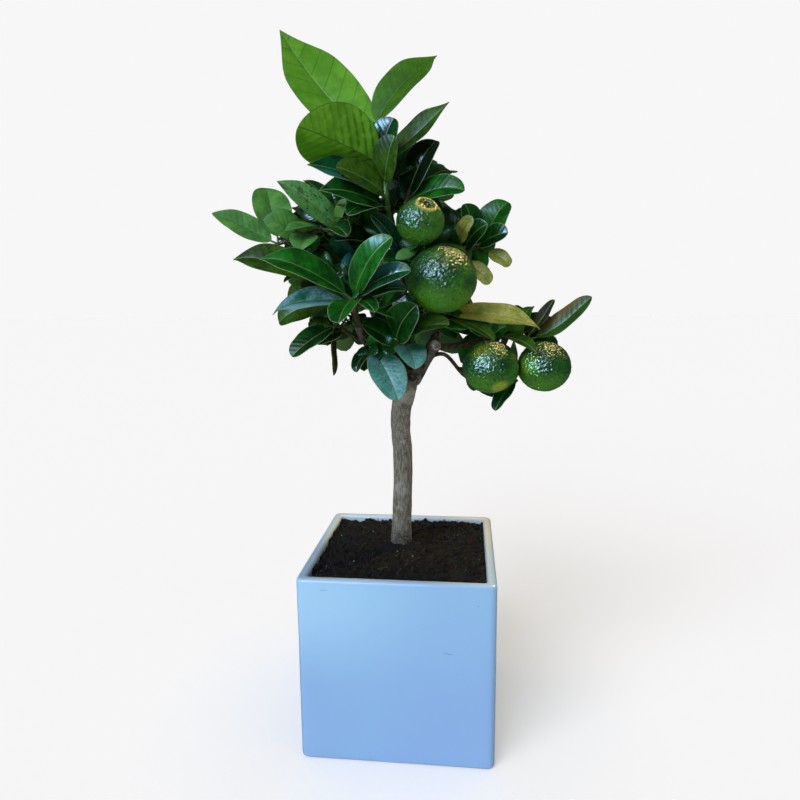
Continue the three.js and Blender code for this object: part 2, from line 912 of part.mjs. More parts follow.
// The soil fills the pot, clear of its walls, under a lumpy top that is level where the trunk stands.
function soilSolid() {
  const half = POT_SIDE / 2 - POT_WALL - GAP;
  const corner = POT_CORNER - POT_EDGE - GAP;
  const [trunkX, trunkY] = LIMBS.trunk.points[0];
  const top = (x, y) => {
    const away = Math.hypot(x - trunkX, y - trunkY);
    const fade = THREE.MathUtils.smoothstep(away, SOIL_FLAT, SOIL_FLAT * 2);
    const lumps = Math.sin(x * 0.13 + 1.1) * Math.cos(y * 0.17) + 0.6 * Math.sin(x * 0.29 - y * 0.23);
    return SOIL_LEVEL + SOIL_LUMP * fade * (lumps - 1.6);
  };
  const loops = [squareLoop(half, corner, POT_FLOOR + GAP), squareLoop(half, corner, top)];
  for (const share of [0.8, 0.6, 0.4, 0.2]) {
    loops.push(squareLoop(half * share, corner * share, top));
  }
  return solidFromLoops(loops);
}

// The scene

const COLOURS = {
  pot: { color: 0x9cc4ee, roughness: 0.18, metalness: 0 },
  soil: { color: 0x2a211c, roughness: 0.95, metalness: 0 },
  bark: { color: 0x6d6259, roughness: 0.85, metalness: 0 },
  foliage: { color: 0x1f5a1c, roughness: 0.4, metalness: 0 },
  flush: { color: 0x4f8f2c, roughness: 0.45, metalness: 0 },
};

const group = new THREE.Group();

function addNode(name, solid, colour) {
  const bodies = solid.decompose().sort((a, b) => b.volume() - a.volume());
  const { numProp, vertProperties, triVerts } = bodies[0].getMesh();
  const positions = new Float32Array((vertProperties.length / numProp) * 3);
  for (let i = 0; i * 3 < positions.length; i++) {
    positions.set(vertProperties.subarray(i * numProp, i * numProp + 3), i * 3);
  }
  const geometry = new THREE.BufferGeometry()
    .setAttribute("position", new THREE.BufferAttribute(positions, 3))
    .setIndex(new THREE.BufferAttribute(triVerts, 1));
  geometry.computeVertexNormals();
  const mesh = new THREE.Mesh(geometry, new THREE.MeshStandardMaterial(COLOURS[colour]));
  mesh.name = name;
  group.add(mesh);
}

// A limb's own solid, and the same with the gap round it that its neighbours are cut back to.
// The trunk is cut off level, just above the soil.
const ground = new THREE.BoxGeometry(POT_SIDE, POT_SIDE, SOIL_LEVEL + GAP);
ground.translate(0, 0, (SOIL_LEVEL + GAP) / 2);
const belowGround = solidFromGeometry(ground);
const limbs = {};
const cleared = {};
for (const [name, { sides = BOUGH_SIDES, steps, points, parent }] of Object.entries(LIMBS)) {
  const count = steps ?? 2 * (points.length - 1) + 1;
  let solid = limbSolid(points, sides, count).subtract(belowGround);
  cleared[name] = limbSolid(points, sides, count, GAP);
  for (const other of Object.keys(limbs)) solid = solid.subtract(cleared[other]);
  if (parent && !limbs[parent]) throw new Error(`${name} grows from ${parent}, which isn't there yet`);
  limbs[name] = solid;
  place(solid, name, "limb");
}

addNode("pot", potSolid(), "pot");
addNode("soil", soilSolid(), "soil");
for (const [name, solid] of Object.entries(limbs)) addNode(name, solid, "bark");

// Every stem and fruit is placed first, then the leaves that show, then the seeded ones in the room left.
const grown = {};
for (const [name, mass] of Object.entries(MASSES)) grown[name] = startMass(name, mass);
for (const [name, mass] of Object.entries(MASSES)) addShownLeaves(name, mass, grown[name]);
for (const [name, mass] of Object.entries(MASSES)) addSeededTwigs(name, mass, grown[name]);
for (const name of Object.keys(MASSES)) {
  let solid = wasm.Manifold.union(grown[name].solids);
  for (const limb of Object.values(cleared)) solid = solid.subtract(limb);
  addNode(name, solid, name === "leaves_top" ? "flush" : "foliage");
}

export default group;
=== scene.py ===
# %% [markdown]
# # A potted rangpur lime
# A young citrus tree stands in a square glazed pot. Its solids are already exact and fixed, so this lesson
# dresses them: bark with relief, leaves with veins, pored fruit, a glaze and loose soil. Everything is in
# metres in the solids' own frame: +Z up, the front towards -Y, the origin under the middle of the pot.
# The plant's own sizes are kept in millimetres, because that is how a gardener would measure them.

# %% Load the fixed solids and keep their box
import functools
import math

import bmesh
import bpy
import numpy as np
from mathutils import Matrix, Vector, kdtree, noise


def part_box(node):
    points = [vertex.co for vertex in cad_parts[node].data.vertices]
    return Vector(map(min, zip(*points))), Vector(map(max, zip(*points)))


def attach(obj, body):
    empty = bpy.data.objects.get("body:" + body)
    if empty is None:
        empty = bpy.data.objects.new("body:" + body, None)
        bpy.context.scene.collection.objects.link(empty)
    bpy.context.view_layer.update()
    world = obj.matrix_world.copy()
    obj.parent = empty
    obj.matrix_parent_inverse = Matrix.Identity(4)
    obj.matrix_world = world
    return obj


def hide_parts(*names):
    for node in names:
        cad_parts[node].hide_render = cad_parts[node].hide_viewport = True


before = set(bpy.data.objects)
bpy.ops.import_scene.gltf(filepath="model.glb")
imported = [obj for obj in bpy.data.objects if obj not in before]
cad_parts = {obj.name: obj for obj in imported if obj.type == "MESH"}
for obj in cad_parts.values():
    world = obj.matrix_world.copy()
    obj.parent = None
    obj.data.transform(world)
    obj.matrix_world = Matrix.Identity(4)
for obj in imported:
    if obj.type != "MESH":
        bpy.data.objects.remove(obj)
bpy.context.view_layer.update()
MM = 0.001

# %% [markdown]
# ## Camera
# The photo was taken from a little above the middle of the crown, looking slightly down and to the left.
# The camera's place, its three turns and its lens were worked out from the pot, whose edges are straight and
# whose sides are known, so the plant then falls where the photo has it.

# %% Set the camera
CAMERA_AT = Vector((0.0552, -0.5445, 0.3807))
CAMERA_TURN = math.radians(6.107)  # to the left of straight ahead
CAMERA_DOWN = math.radians(9.008)
CAMERA_ROLL = math.radians(-0.483)
CAMERA_LENS = 28.17  # mm, on a sensor 36 mm wide


def camera_matrix(place, turn, down, roll):
    """Where the camera is and how it is turned, from three angles."""
    level = math.cos(down)
    ahead = Vector((-math.sin(turn) * level, math.cos(turn) * level, -math.sin(down)))
    right = ahead.cross(Vector((0, 0, 1))).normalized()
    over = right.cross(ahead)
    rolled_right = right * math.cos(roll) + over * math.sin(roll)
    rolled_over = over * math.cos(roll) - right * math.sin(roll)
    matrix = Matrix((rolled_right, rolled_over, -ahead)).transposed().to_4x4()
    matrix.translation = place
    return matrix


def placed(name, data):
    """A new object in the scene, at the origin."""
    thing = bpy.data.objects.new(name, data)
    bpy.context.scene.collection.objects.link(thing)
    return thing


camera_data = bpy.data.cameras.new("camera")
camera_data.sensor_width = 36
camera_data.lens = CAMERA_LENS
camera = placed("camera", camera_data)
camera.matrix_world = camera_matrix(CAMERA_AT, CAMERA_TURN, CAMERA_DOWN, CAMERA_ROLL)
bpy.context.scene.camera = camera
print("camera at", tuple(round(v, 3) for v in camera.location), "lens", CAMERA_LENS)

# %% [markdown]
# ## Nodes and colours
# Every finish is a small tree of nodes. One helper adds a node, sets its settings and joins its inputs. A
# table of short names keeps the calls to it short. Another helper turns the sRGB hex values that people
# pick colours with into the linear ones that a shader needs. From these come the few recipes that all
# finishes share: soft spots of noise, coats of paint over each other, and fine relief.


# %% Helpers for materials
def linear(code, alpha=1.0):
    """An sRGB colour such as #9cc4ee as linear red, green, blue and alpha."""
    parts = [int(code[i : i + 2], 16) / 255 for i in (1, 3, 5)]
    return tuple(c / 12.92 if c <= 0.04045 else ((c + 0.055) / 1.055) ** 2.4 for c in parts) + (alpha,)


def feed(socket, value):
    """Joins another node's result to a socket, or sets a plain value, of which a hex value is a colour."""
    if isinstance(value, bpy.types.NodeSocket):
        socket.id_data.links.new(value, socket)
    else:
        socket.default_value = linear(value) if isinstance(value, str) else value


def add_node(tree, kind, inputs=(), **settings):
    """A new node with its settings and its inputs, each from another node's result or a plain value."""
    node = tree.nodes.new(kind)
    for name, value in settings.items():
        setattr(node, name, value)
    for name, value in dict(inputs).items():
        feed(node.inputs[name], value)
    return node


print("sky blue is", tuple(round(c, 3) for c in linear("#9cc4ee")))

# %% Short names for nodes
NODES = {  # short name: the node's kind, its settings, its inputs in order and its result
    "mix": ("Mix", {"data_type": "RGBA"}, (0, 6, 7), 2),
    "ramp": ("MapRange", {"interpolation_type": "SMOOTHSTEP"}, ("Value", "From Min", "From Max"), 0),
    "noise": ("TexNoise", {}, ("Vector", "Scale", "Detail", "Roughness"), "Fac"),
    "cells": ("TexVoronoi", {"feature": "SMOOTH_F1"}, ("Vector", "Scale"), "Distance"),
    "distance": ("VectorMath", {"operation": "DISTANCE"}, (0, 1), "Value"),
    "stretch": ("Mapping", {}, ("Vector", "Scale"), 0),
    "axis": ("SeparateXYZ", {}, (0,), "Z"),
    "bump": ("Bump", {}, ("Height", "Distance", "Strength", "Normal"), 0),
    "place": ("TexCoord", {}, (), "Object"),
    "grain": ("Attribute", {"attribute_name": "grain"}, (), "Vector"),
    "blade map": ("UVMap", {"uv_map": "blade"}, (), 0),
    "normal": ("NewGeometry", {}, (), "Normal"),
    "openness": ("AmbientOcclusion", {"samples": 8}, ("Distance",), "AO"),
    "ray": ("LightPath", {}, (), "Is Camera Ray"),
    "light": ("Background", {}, ("Color", "Strength"), 0),
    "mix lights": ("MixShader", {}, (0, 1, 2), 0),
}


def result(tree, name, *values, out=None):
    """The result of a new node. A name that isn't in the table is an operation on one or two numbers."""
    kind, settings, sockets, usual = NODES.get(name) or ("Math", {"operation": name}, (0, 1), 0)
    node = add_node(tree, "ShaderNode" + kind, zip(sockets, values), **settings)
    return node.outputs[usual if out is None else out]


def new_material(name, **shader):
    """A material, what adds nodes to it, and its Principled shader, set by socket with _ for a space."""
    material = bpy.data.materials.new(name)
    material.use_nodes = True
    bsdf = material.node_tree.nodes["Principled BSDF"]
    for socket, value in shader.items():
        feed(bsdf.inputs[socket.replace("_", " ")], value)
    return material, functools.partial(result, material.node_tree), bsdf


print("short names:", ", ".join(NODES))


# %% Recipes that the finishes share
def per_mm(size):
    """The scale of a pattern whose spots are about this many millimetres across."""
    return 1 / (size * MM)


def spots(node, place, size_mm, low, high, detail, roughness=0.5):
    """Soft spots about this many millimetres across, from noise in which low becomes 0 and high becomes 1."""
    return node("ramp", node("noise", place, per_mm(size_mm), detail, roughness), low, high)


def paint(node, bsdf, body, layers):
    """The base colour: a body under layers, each a pattern, how far it covers at most, and a colour."""
    for pattern, most, colour in layers:
        body = node("mix", node("MULTIPLY", pattern, most), body, colour)
    feed(bsdf.inputs["Base Color"], body)


def emboss(node, bsdf, height, depth_mm, strength=1.0):
    """Relief too fine for the mesh, this many millimetres deep, on top of what the shader has already."""
    before = [link.from_socket for link in bsdf.inputs["Normal"].links]
    feed(bsdf.inputs["Normal"], node("bump", height, depth_mm * MM, strength, *before))


def near(node, place, centre_mm, radius_mm):
    """1 close to a point of the plant and 0 from this many millimetres away."""
    away = node("distance", place, tuple(value * MM for value in centre_mm))
    return node("ramp", away, radius_mm * MM, 0.45 * radius_mm * MM)


print("a spot 9 mm across has the scale", round(per_mm(9), 1))

# %% [markdown]
# ## Studio
# A plain pale floor and a pale surround keep the eye on the plant. The photo has cool light from the front,
# as from a broad window, whose brightest part makes blue glints on leaves and peel, and a warm lamp behind on
# the right, which gilds the tops of the fruits. The window is split in two, so that each can be set alone:
# its whole width, and its brightest part, which is only mirrored. The lamp lights only the plant and its pot,
# so that it throws no second shadow, and its share on the leaves is a weaker lamp of its own. The surround is
# dim in reflections, which keeps the leaves deep green. The floor glows a little, less where the pot is near.

# %% Light the studio
FLOOR_HALF = 14.0
FLOOR_DROP = 0.0002  # how far the floor lies below the pot, so that the two never share a plane
FLOOR_GLOW = ("#fff3dc", 0.449)
SHADE_REACH = 0.16  # how near the pot has to be to dim that glow
SHADE_LEAST = 0.3
LIGHTS = {
    "window": {"heading": -120, "rise": 34, "spread": 46, "strength": 2.15, "colour": "#e8f0ff"},
    "window_glint": {"heading": -128, "rise": 20, "spread": 14, "strength": 5.4, "colour": "#98d0ff"},
    "warm_lamp": {"heading": 46, "rise": 57, "spread": 14, "strength": 2.2, "colour": "#ffdf92"},
    "warm_lamp_on_leaves": {"heading": 46, "rise": 57, "spread": 14, "strength": 0.9, "colour": "#ffe4a0"},
}
SEEN_SURROUND = ("#f7f7f7", 1.0)
LIT_SURROUND = ("#e6edff", 0.34)
MIRRORED_SHARE = 0.15
lamp_reaches = bpy.data.collections.new("lamp_reaches")
leaf_lamp_reaches = bpy.data.collections.new("leaf_lamp_reaches")


def add_light(name, heading, rise, spread, strength, colour):
    """A far light. Heading 0 is from +X, -90 from the front, and spread is its width in the sky."""
    data = bpy.data.lights.new(name, "SUN")
    data.angle = math.radians(spread)
    data.energy = strength
    data.color = linear(colour)[:3]
    light = placed(name, data)
    turn, lift = math.radians(heading), math.radians(rise)
    towards = Vector((math.cos(turn) * math.cos(lift), math.sin(turn) * math.cos(lift), math.sin(lift)))
    light.rotation_euler = (-towards).to_track_quat("-Z", "Y").to_euler()
    light.location = towards * 2
    return light


lamps = {light_name: add_light(light_name, **values) for light_name, values in LIGHTS.items()}
lamps["warm_lamp"].light_linking.receiver_collection = lamp_reaches
lamps["warm_lamp_on_leaves"].light_linking.receiver_collection = leaf_lamp_reaches
lamps["window_glint"].visible_diffuse = False
lamps["warm_lamp_on_leaves"].visible_glossy = False

world = bpy.data.worlds.new("surround")
world.use_nodes = True
node = functools.partial(result, world.node_tree)
seen = world.node_tree.nodes["Background"]
feed(seen.inputs["Color"], SEEN_SURROUND[0])
feed(seen.inputs["Strength"], SEEN_SURROUND[1])
mirrored = node("MULTIPLY", node("ray", out="Is Glossy Ray"), MIRRORED_SHARE - 1)
lit = node("light", LIT_SURROUND[0], node("MULTIPLY", node("ADD", mirrored, 1.0), LIT_SURROUND[1]))
both = node("mix lights", node("ray"), lit, seen.outputs[0])
feed(world.node_tree.nodes["World Output"].inputs["Surface"], both)
bpy.context.scene.world = world
bpy.context.scene.view_settings.view_transform = "Standard"
bpy.context.scene.view_settings.look = "None"

floor_mesh = bpy.data.meshes.new("floor")
corners = [(FLOOR_HALF * x, FLOOR_HALF * y, 0) for x, y in ((-1, -1), (1, -1), (1, 1), (-1, 1))]
floor_mesh.from_pydata(corners, [], [(0, 1, 2, 3)])
floor = placed("floor", floor_mesh)
floor.location.z = -FLOOR_DROP
floor.visible_glossy = False
floor_paint, node, bsdf = new_material(
    "matt_white_paper",
    Base_Color="#ececec",
    Roughness=1.0,
    Specular_IOR_Level=0.0,
    Emission_Color=FLOOR_GLOW[0],
)
shaded = node("ADD", node("MULTIPLY", node("openness", SHADE_REACH), 1 - SHADE_LEAST), SHADE_LEAST)
feed(bsdf.inputs["Emission Strength"], node("MULTIPLY", shaded, FLOOR_GLOW[1]))
floor_mesh.materials.append(floor_paint)
print("lights:", ", ".join(LIGHTS))

# %% [markdown]
# ## Meshes from numbers
# Leaves, twigs and bark are all worked out as arrays of points, so one small collector takes each shape's
# points and faces in millimetres and makes a single mesh of them at the end. A piece made of hundreds of
# leaves is then one object, which Blender and an export both handle easily.


# %% A collector for joined shapes
class Heap:
    """Points in millimetres, faces with the number of their material, and each point's place on a map."""

    def __init__(self):
        self.points, self.faces, self.slots, self.smooth, self.places = [], [], [], [], []
        self.count = 0

    def add(self, points, faces, slots, smooth=True, places=None):
        self.points.append(np.asarray(points, float))
        self.faces += [[i + self.count for i in face] for face in faces]
        self.slots += [slots] * len(faces) if isinstance(slots, int) else list(slots)
        self.smooth += [smooth] * len(faces) if isinstance(smooth, bool) else smooth
        self.places.append(np.zeros((len(points), 2)) if places is None else places)
        self.count += len(points)

    def piece(self, name, materials, mapped=False):
        mesh = bpy.data.meshes.new(name)
        mesh.from_pydata(np.concatenate(self.points) * MM, [], self.faces)
        for material in materials:
            mesh.materials.append(material)
        mesh.polygons.foreach_set("material_index", self.slots)
        mesh.polygons.foreach_set("use_smooth", self.smooth)
        if mapped:
            corners = np.empty(len(mesh.loops), dtype=np.int32)
            mesh.loops.foreach_get("vertex_index", corners)
            places = np.concatenate(self.places)[corners]
            mesh.uv_layers.new(name="blade").data.foreach_set("uv", places.ravel())
        mesh.update()
        return placed(name, mesh)


def triangles(piece):
    return sum(len(face.vertices) - 2 for face in piece.data.polygons)


def finish_piece(piece, slot, *nodes):
    """The piece rides on the plant's one body and stands for these solids. Its slot picks the lamp that
    reaches it.
    """
    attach(piece, "root")
    (leaf_lamp_reaches if "foliage" in slot else lamp_reaches).objects.link(piece)
    if nodes:
        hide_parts(*nodes)
    print(piece.name, triangles(piece), "triangles")


# %% [markdown]
# ## The pot
# The real pot is slip-cast earthenware under a thick sky-blue glaze. Its edges are rounded where the glaze
# pools and thins. The walls are built as rings from the foot up over the rim and down the inside, with points
# along the flat sides too, so that a slight unevenness can be pushed into them as in any fired pot.

# %% Build the pot
POT_HIGH = np.array(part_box("pot")[1]) / MM
POT_HALF = POT_HIGH[0]
POT_TOP = POT_HIGH[2]
POT_WALL = 8.0
POT_FLOOR = 10.0
POT_CORNER = 6.0
POT_EDGE = 3.0
POT_UNEVEN = (45, 0.22)  # the size of its waves and how far they stray from flat
INSIDE_HEIGHTS = (140, 120, 80, 40, POT_FLOOR)
FOOT_SHARES = (0.25, 0.6, 0.9)
FLOOR_SHARES = (0.9, 0.5, 0.2)
ARC_STEPS = 6
WALL_STEPS = 18
CORNER_STEPS = 6


def square_ring(half, corner, height):
    """Points round a square with round corners, evenly spaced along its straight sides."""
    ring = []
    for quarter, (sx, sy) in enumerate([(1, 1), (-1, 1), (-1, -1), (1, -1)]):
        angles = math.pi / 2 * (quarter + np.linspace(0, 1, CORNER_STEPS + 1))
        centre = np.array([sx * (half - corner), sy * (half - corner)])
        arc = centre + corner * np.stack([np.cos(angles), np.sin(angles)], axis=1)
        onward = np.array([math.cos(angles[-1] + math.pi / 2), math.sin(angles[-1] + math.pi / 2)])
        shares = np.linspace(0, 1, WALL_STEPS + 1)[1:-1, None]
        ring += [*arc, *(arc[-1] + shares * 2 * (half - corner) * onward)]
    ring = np.array(ring)
    return np.column_stack([ring, np.full(len(ring), height)])


def pot_rings():
    """The pot's rings from the foot up, over the rim and down to the floor inside."""
    inner, inner_corner = POT_HALF - POT_WALL, POT_CORNER - POT_EDGE
    falls = [POT_EDGE * (1 - math.cos(a)) for a in np.linspace(0, math.pi / 2, ARC_STEPS)]
    rises = [POT_EDGE * (1 - math.sin(a)) for a in np.linspace(0, math.pi / 2, ARC_STEPS)]
    rings = [square_ring(POT_HALF * share, POT_CORNER * share, 0) for share in FOOT_SHARES]
    rings += [square_ring(POT_HALF - a, POT_CORNER - a, b) for a, b in zip(rises, falls)]
    for height in np.linspace(POT_EDGE, POT_TOP - POT_EDGE, 22)[1:-1]:
        rings.append(square_ring(POT_HALF, POT_CORNER, height))
    rings += [square_ring(POT_HALF - a, POT_CORNER - a, POT_TOP - b) for a, b in zip(falls, rises)]
    rings += [square_ring(inner + a, inner_corner + a, POT_TOP - b) for a, b in zip(rises, falls)]
    rings += [square_ring(inner, inner_corner, height) for height in INSIDE_HEIGHTS]
    rings += [square_ring(inner * share, inner_corner * share, POT_FLOOR) for share in FLOOR_SHARES]
    return rings


def skin(rings):
    """Faces that join each ring to the next, with a flat face on each end."""
    size = len(rings[0])
    faces = []
    for k in range(len(rings) - 1):
        for i in range(size):
            j = (i + 1) % size
            faces.append([k * size + i, k * size + j, (k + 1) * size + j, (k + 1) * size + i])
    faces.append(list(range(size))[::-1])
    faces.append([(len(rings) - 1) * size + i for i in range(size)])
    return faces


def wander(points, size_mm, depth_mm, seed=0.0):
    """A slow, repeatable push for each point, between -1 and 1 times the depth."""
    offset = Vector((seed, -seed, 2 * seed))
    values = [noise.noise(Vector(p / size_mm) + offset) for p in points]
    return depth_mm * np.array(values)


rings = pot_rings()
pot_points = np.concatenate(rings)
uneven = wander(pot_points, *POT_UNEVEN)
inward = -np.sign(pot_points[:, :2]) * (np.abs(pot_points[:, :2]) > POT_HALF - POT_WALL - 0.5)
pot_points[:, :2] += inward * np.abs(uneven)[:, None]
pot_heap = Heap()
pot_heap.add(pot_points, skin(rings), 0)
pot = pot_heap.piece("pot_glazed", [])
print("pot rings:", len(rings), "of", len(rings[0]), "points")

# %% [markdown]
# ## Glazed ceramic
# A fired glaze is coloured glass on clay. Light is mirrored at its smooth top and comes back blue from below,
# which is what a base colour under a sharp clear coat gives. The blue drifts a little between greener and
# deeper patches, and on the rim it thins to show a paler body. Light is painted in as well: the upper left
# and the inside walls are painted paler, and the rim towards the back right is painted cream, a painted warm
# light from the lamp.

# %% Glaze the pot
GLAZE_DRIFT_MM = 110
RIM_FADE_MM = 2.0
MARKS = (  # x, z, half width, half height and tilt of the small flaws on the front
    (-57.5, 151.6, 3.6, 0.45, 4),
    (65.8, 143.2, 0.75, 0.6, 0),
    (42.5, 101.5, 4.4, 0.5, -12),
)


def glaze_flaws(node, place):
    """1 on each small flaw of the front face: two scuffs and a pit."""
    x_axis, y_axis, z_axis = (node("axis", place, out=axis) for axis in "XYZ")
    total = 0.0
    for x, z, half_wide, half_high, tilt in MARKS:
        across = node("SUBTRACT", x_axis, x * MM)
        slope = node("MULTIPLY", across, math.tan(math.radians(tilt)))
        up = node("SUBTRACT", node("SUBTRACT", z_axis, z * MM), slope)
        wide = node("POWER", node("DIVIDE", across, half_wide * MM), 2)
        high = node("POWER", node("DIVIDE", up, half_high * MM), 2)
        total = node("MAXIMUM", node("ramp", node("ADD", wide, high), 1.5, 0.3), total)
    return node("MULTIPLY", total, node("ramp", y_axis, (-POT_HALF + 3) * MM, (-POT_HALF + 1) * MM))


def sky_glaze():
    glaze, node, bsdf = new_material(
        "glazed_ceramic_sky_blue", Roughness=0.3, IOR=1.5, Coat_Weight=0.5, Coat_Roughness=0.08
    )
    place = node("place")
    across, back, height = (node("axis", place, out=axis) for axis in "XYZ")
    drift = spots(node, place, GLAZE_DRIFT_MM, 0.3, 0.7, 1)
    left, high = node("ramp", across, 50 * MM, -80 * MM), node("ramp", height, 60 * MM, 150 * MM)
    inner = node("MAXIMUM", node("ABSOLUTE", across), node("ABSOLUTE", back))
    painted_light_inner_wall = node("ramp", inner, (POT_HALF - 3) * MM, (POT_HALF - 5) * MM)
    rim = node("ramp", height, (POT_TOP - RIM_FADE_MM) * MM, (POT_TOP + 0.3) * MM)
    right, far = node("ramp", across, 30 * MM, 72 * MM), node("ramp", back, -50 * MM, 40 * MM)
    layers = [
        (node("ramp", height, 150 * MM, 60 * MM), 0.45, "#88b0de"),
        # Painted light: the upper left of the pot is painted paler, where the window light falls on it.
        (node("MULTIPLY", left, high), 0.7, "#a9d7f4"),
        # Painted light: the inside walls are painted near white, as if lit, where they lie in shade.
        (painted_light_inner_wall, 0.75, "#dbe7ee"),
        # The rim is paler where the glaze thins, and towards the back right it is painted cream: painted warm
        # light from the lamp.
        (rim, 0.7, node("mix", node("MULTIPLY", right, far), "#b9cfe2", "#e6d8c2")),
        (glaze_flaws(node, place), 0.4, "#4a5f7d"),
    ]
    paint(node, bsdf, node("mix", drift, "#90bfe3", "#8eb4e1"), layers)
    emboss(node, bsdf, node("noise", place, per_mm(30), 1.0), 0.25, 0.5)
    return glaze


pot.data.materials.append(sky_glaze())
finish_piece(pot, "pot_glaze", "pot")

# %% [markdown]
# ## The soil
# Potting mix is a lumpy dark surface with loose crumbs, bits of bark fibre and a few white grains. The block
# itself is a grid of points pushed up and down by noise. The loose bits are too many to place by hand, so
# Geometry Nodes scatters them over the top, turns each one at random and joins them into one plain mesh.

# %% Build the soil's surface
SOIL_LOW, SOIL_HIGH = (np.array(corner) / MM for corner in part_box("soil"))
SOIL_LEVEL = 157.7  # the mean height of its surface
SOIL_STEPS = 84
SOIL_DROP = 3.2  # how far the soil has sunk along the walls
SOIL_DROP_FROM = 0.82  # where that begins, from 0 in the middle to 1 at the walls
SOIL_LUMPS = ((26, 1.6, 0), (8, 1.8, 7), (3.4, 1.3, 3))  # size, height and a number of its own
MOUND = ((-3.4, 5.6), 4.2, 8, 7)  # centre, height, radius of its level top and reach of its slope


def soil_height(x, y):
    edge = max(abs(x), abs(y)) / SOIL_HIGH[0]
    lumps = sum(noise.noise(Vector((x, y, layer)) / size) * high for size, high, layer in SOIL_LUMPS)
    ragged = 0.7 + 1.3 * noise.noise(Vector((x, y, 11)) / 15)
    middle, high, flat, slope = MOUND
    mound = high * math.exp(-((max(0.0, math.dist((x, y), middle) - flat) / slope) ** 2))
    sunk = SOIL_DROP * ragged * max(0.0, edge - SOIL_DROP_FROM) / (1 - SOIL_DROP_FROM)
    return SOIL_LEVEL + lumps + mound - sunk


def soil_block():
    line = np.linspace(SOIL_LOW[0] + 0.2, SOIL_HIGH[0] - 0.2, SOIL_STEPS + 1)
    size = SOIL_STEPS + 1
    top = [(x, y, soil_height(x, y)) for y in line for x in line]
    faces = []
    for j in range(SOIL_STEPS):
        for i in range(SOIL_STEPS):
            a = j * size + i
            faces.append([a, a + 1, a + size + 1, a + size])
    rim = list(range(size)) + [j * size + size - 1 for j in range(1, size)]
    rim += [size * size - 1 - i for i in range(1, size)] + [j * size for j in range(size - 2, 0, -1)]
    start = len(top)
    floor_points = [(top[i][0], top[i][1], SOIL_LOW[2]) for i in rim]
    for k in range(len(rim)):
        n = (k + 1) % len(rim)
        faces.append([rim[k], start + k, start + n, rim[n]])
    faces.append([start + k for k in range(len(rim))][::-1])
    return top + floor_points, faces


soil_points, soil_faces = soil_block()
soil_heap = Heap()
soil_heap.add(np.array(soil_points), soil_faces, 0)
soil = soil_heap.piece("soil_block", [])
print("soil faces:", len(soil_faces))


# %% Finish the soil
def potting_mix(name, dark, light, red, size_mm=1.6):
    """Peat and fine bark: matt, nearly black where moist, with paler dry specks."""
    mix, node, bsdf = new_material(name, Roughness=0.95, Specular_IOR_Level=0.2)
    place = node("place")
    patches = spots(node, place, 8, 0.35, 0.7, 4, 0.6)
    specks = spots(node, place, size_mm, 0.5, 0.74, 2)
    rusty = spots(node, place, 30, 0.5, 0.66, 2)
    paint(node, bsdf, dark, [(specks, patches, node("mix", rusty, light, red))])
    emboss(node, bsdf, node("noise", place, per_mm(size_mm), 4.0, 0.7), 0.7)
    return mix


soil.data.materials.append(potting_mix("peat_and_bark_mix", "#0d0c0b", "#28211b", "#3a2418"))
finish_piece(soil, "soil", "soil")

# %% [markdown]
# ### Loose bits on the soil
# The tree of nodes below takes the soil's faces that look up, strews points over them and puts one rough lump
# or rod on each. Its inputs are the count, the size and how long the bits are, so that the same tree makes
# crumbs, fibres and white grains. It ends in Realize Instances and Set Material.


# %% Strew crumbs, fibres and grains
LEAST_UP = 0.4  # how far up a face has to look to hold loose bits
LUMP_ROUGHNESS = 1.7  # the scale of the noise that bends a ball into a lump
LUMP_SIZES = (0.5, 1.3)  # the least and the most, over the size asked for


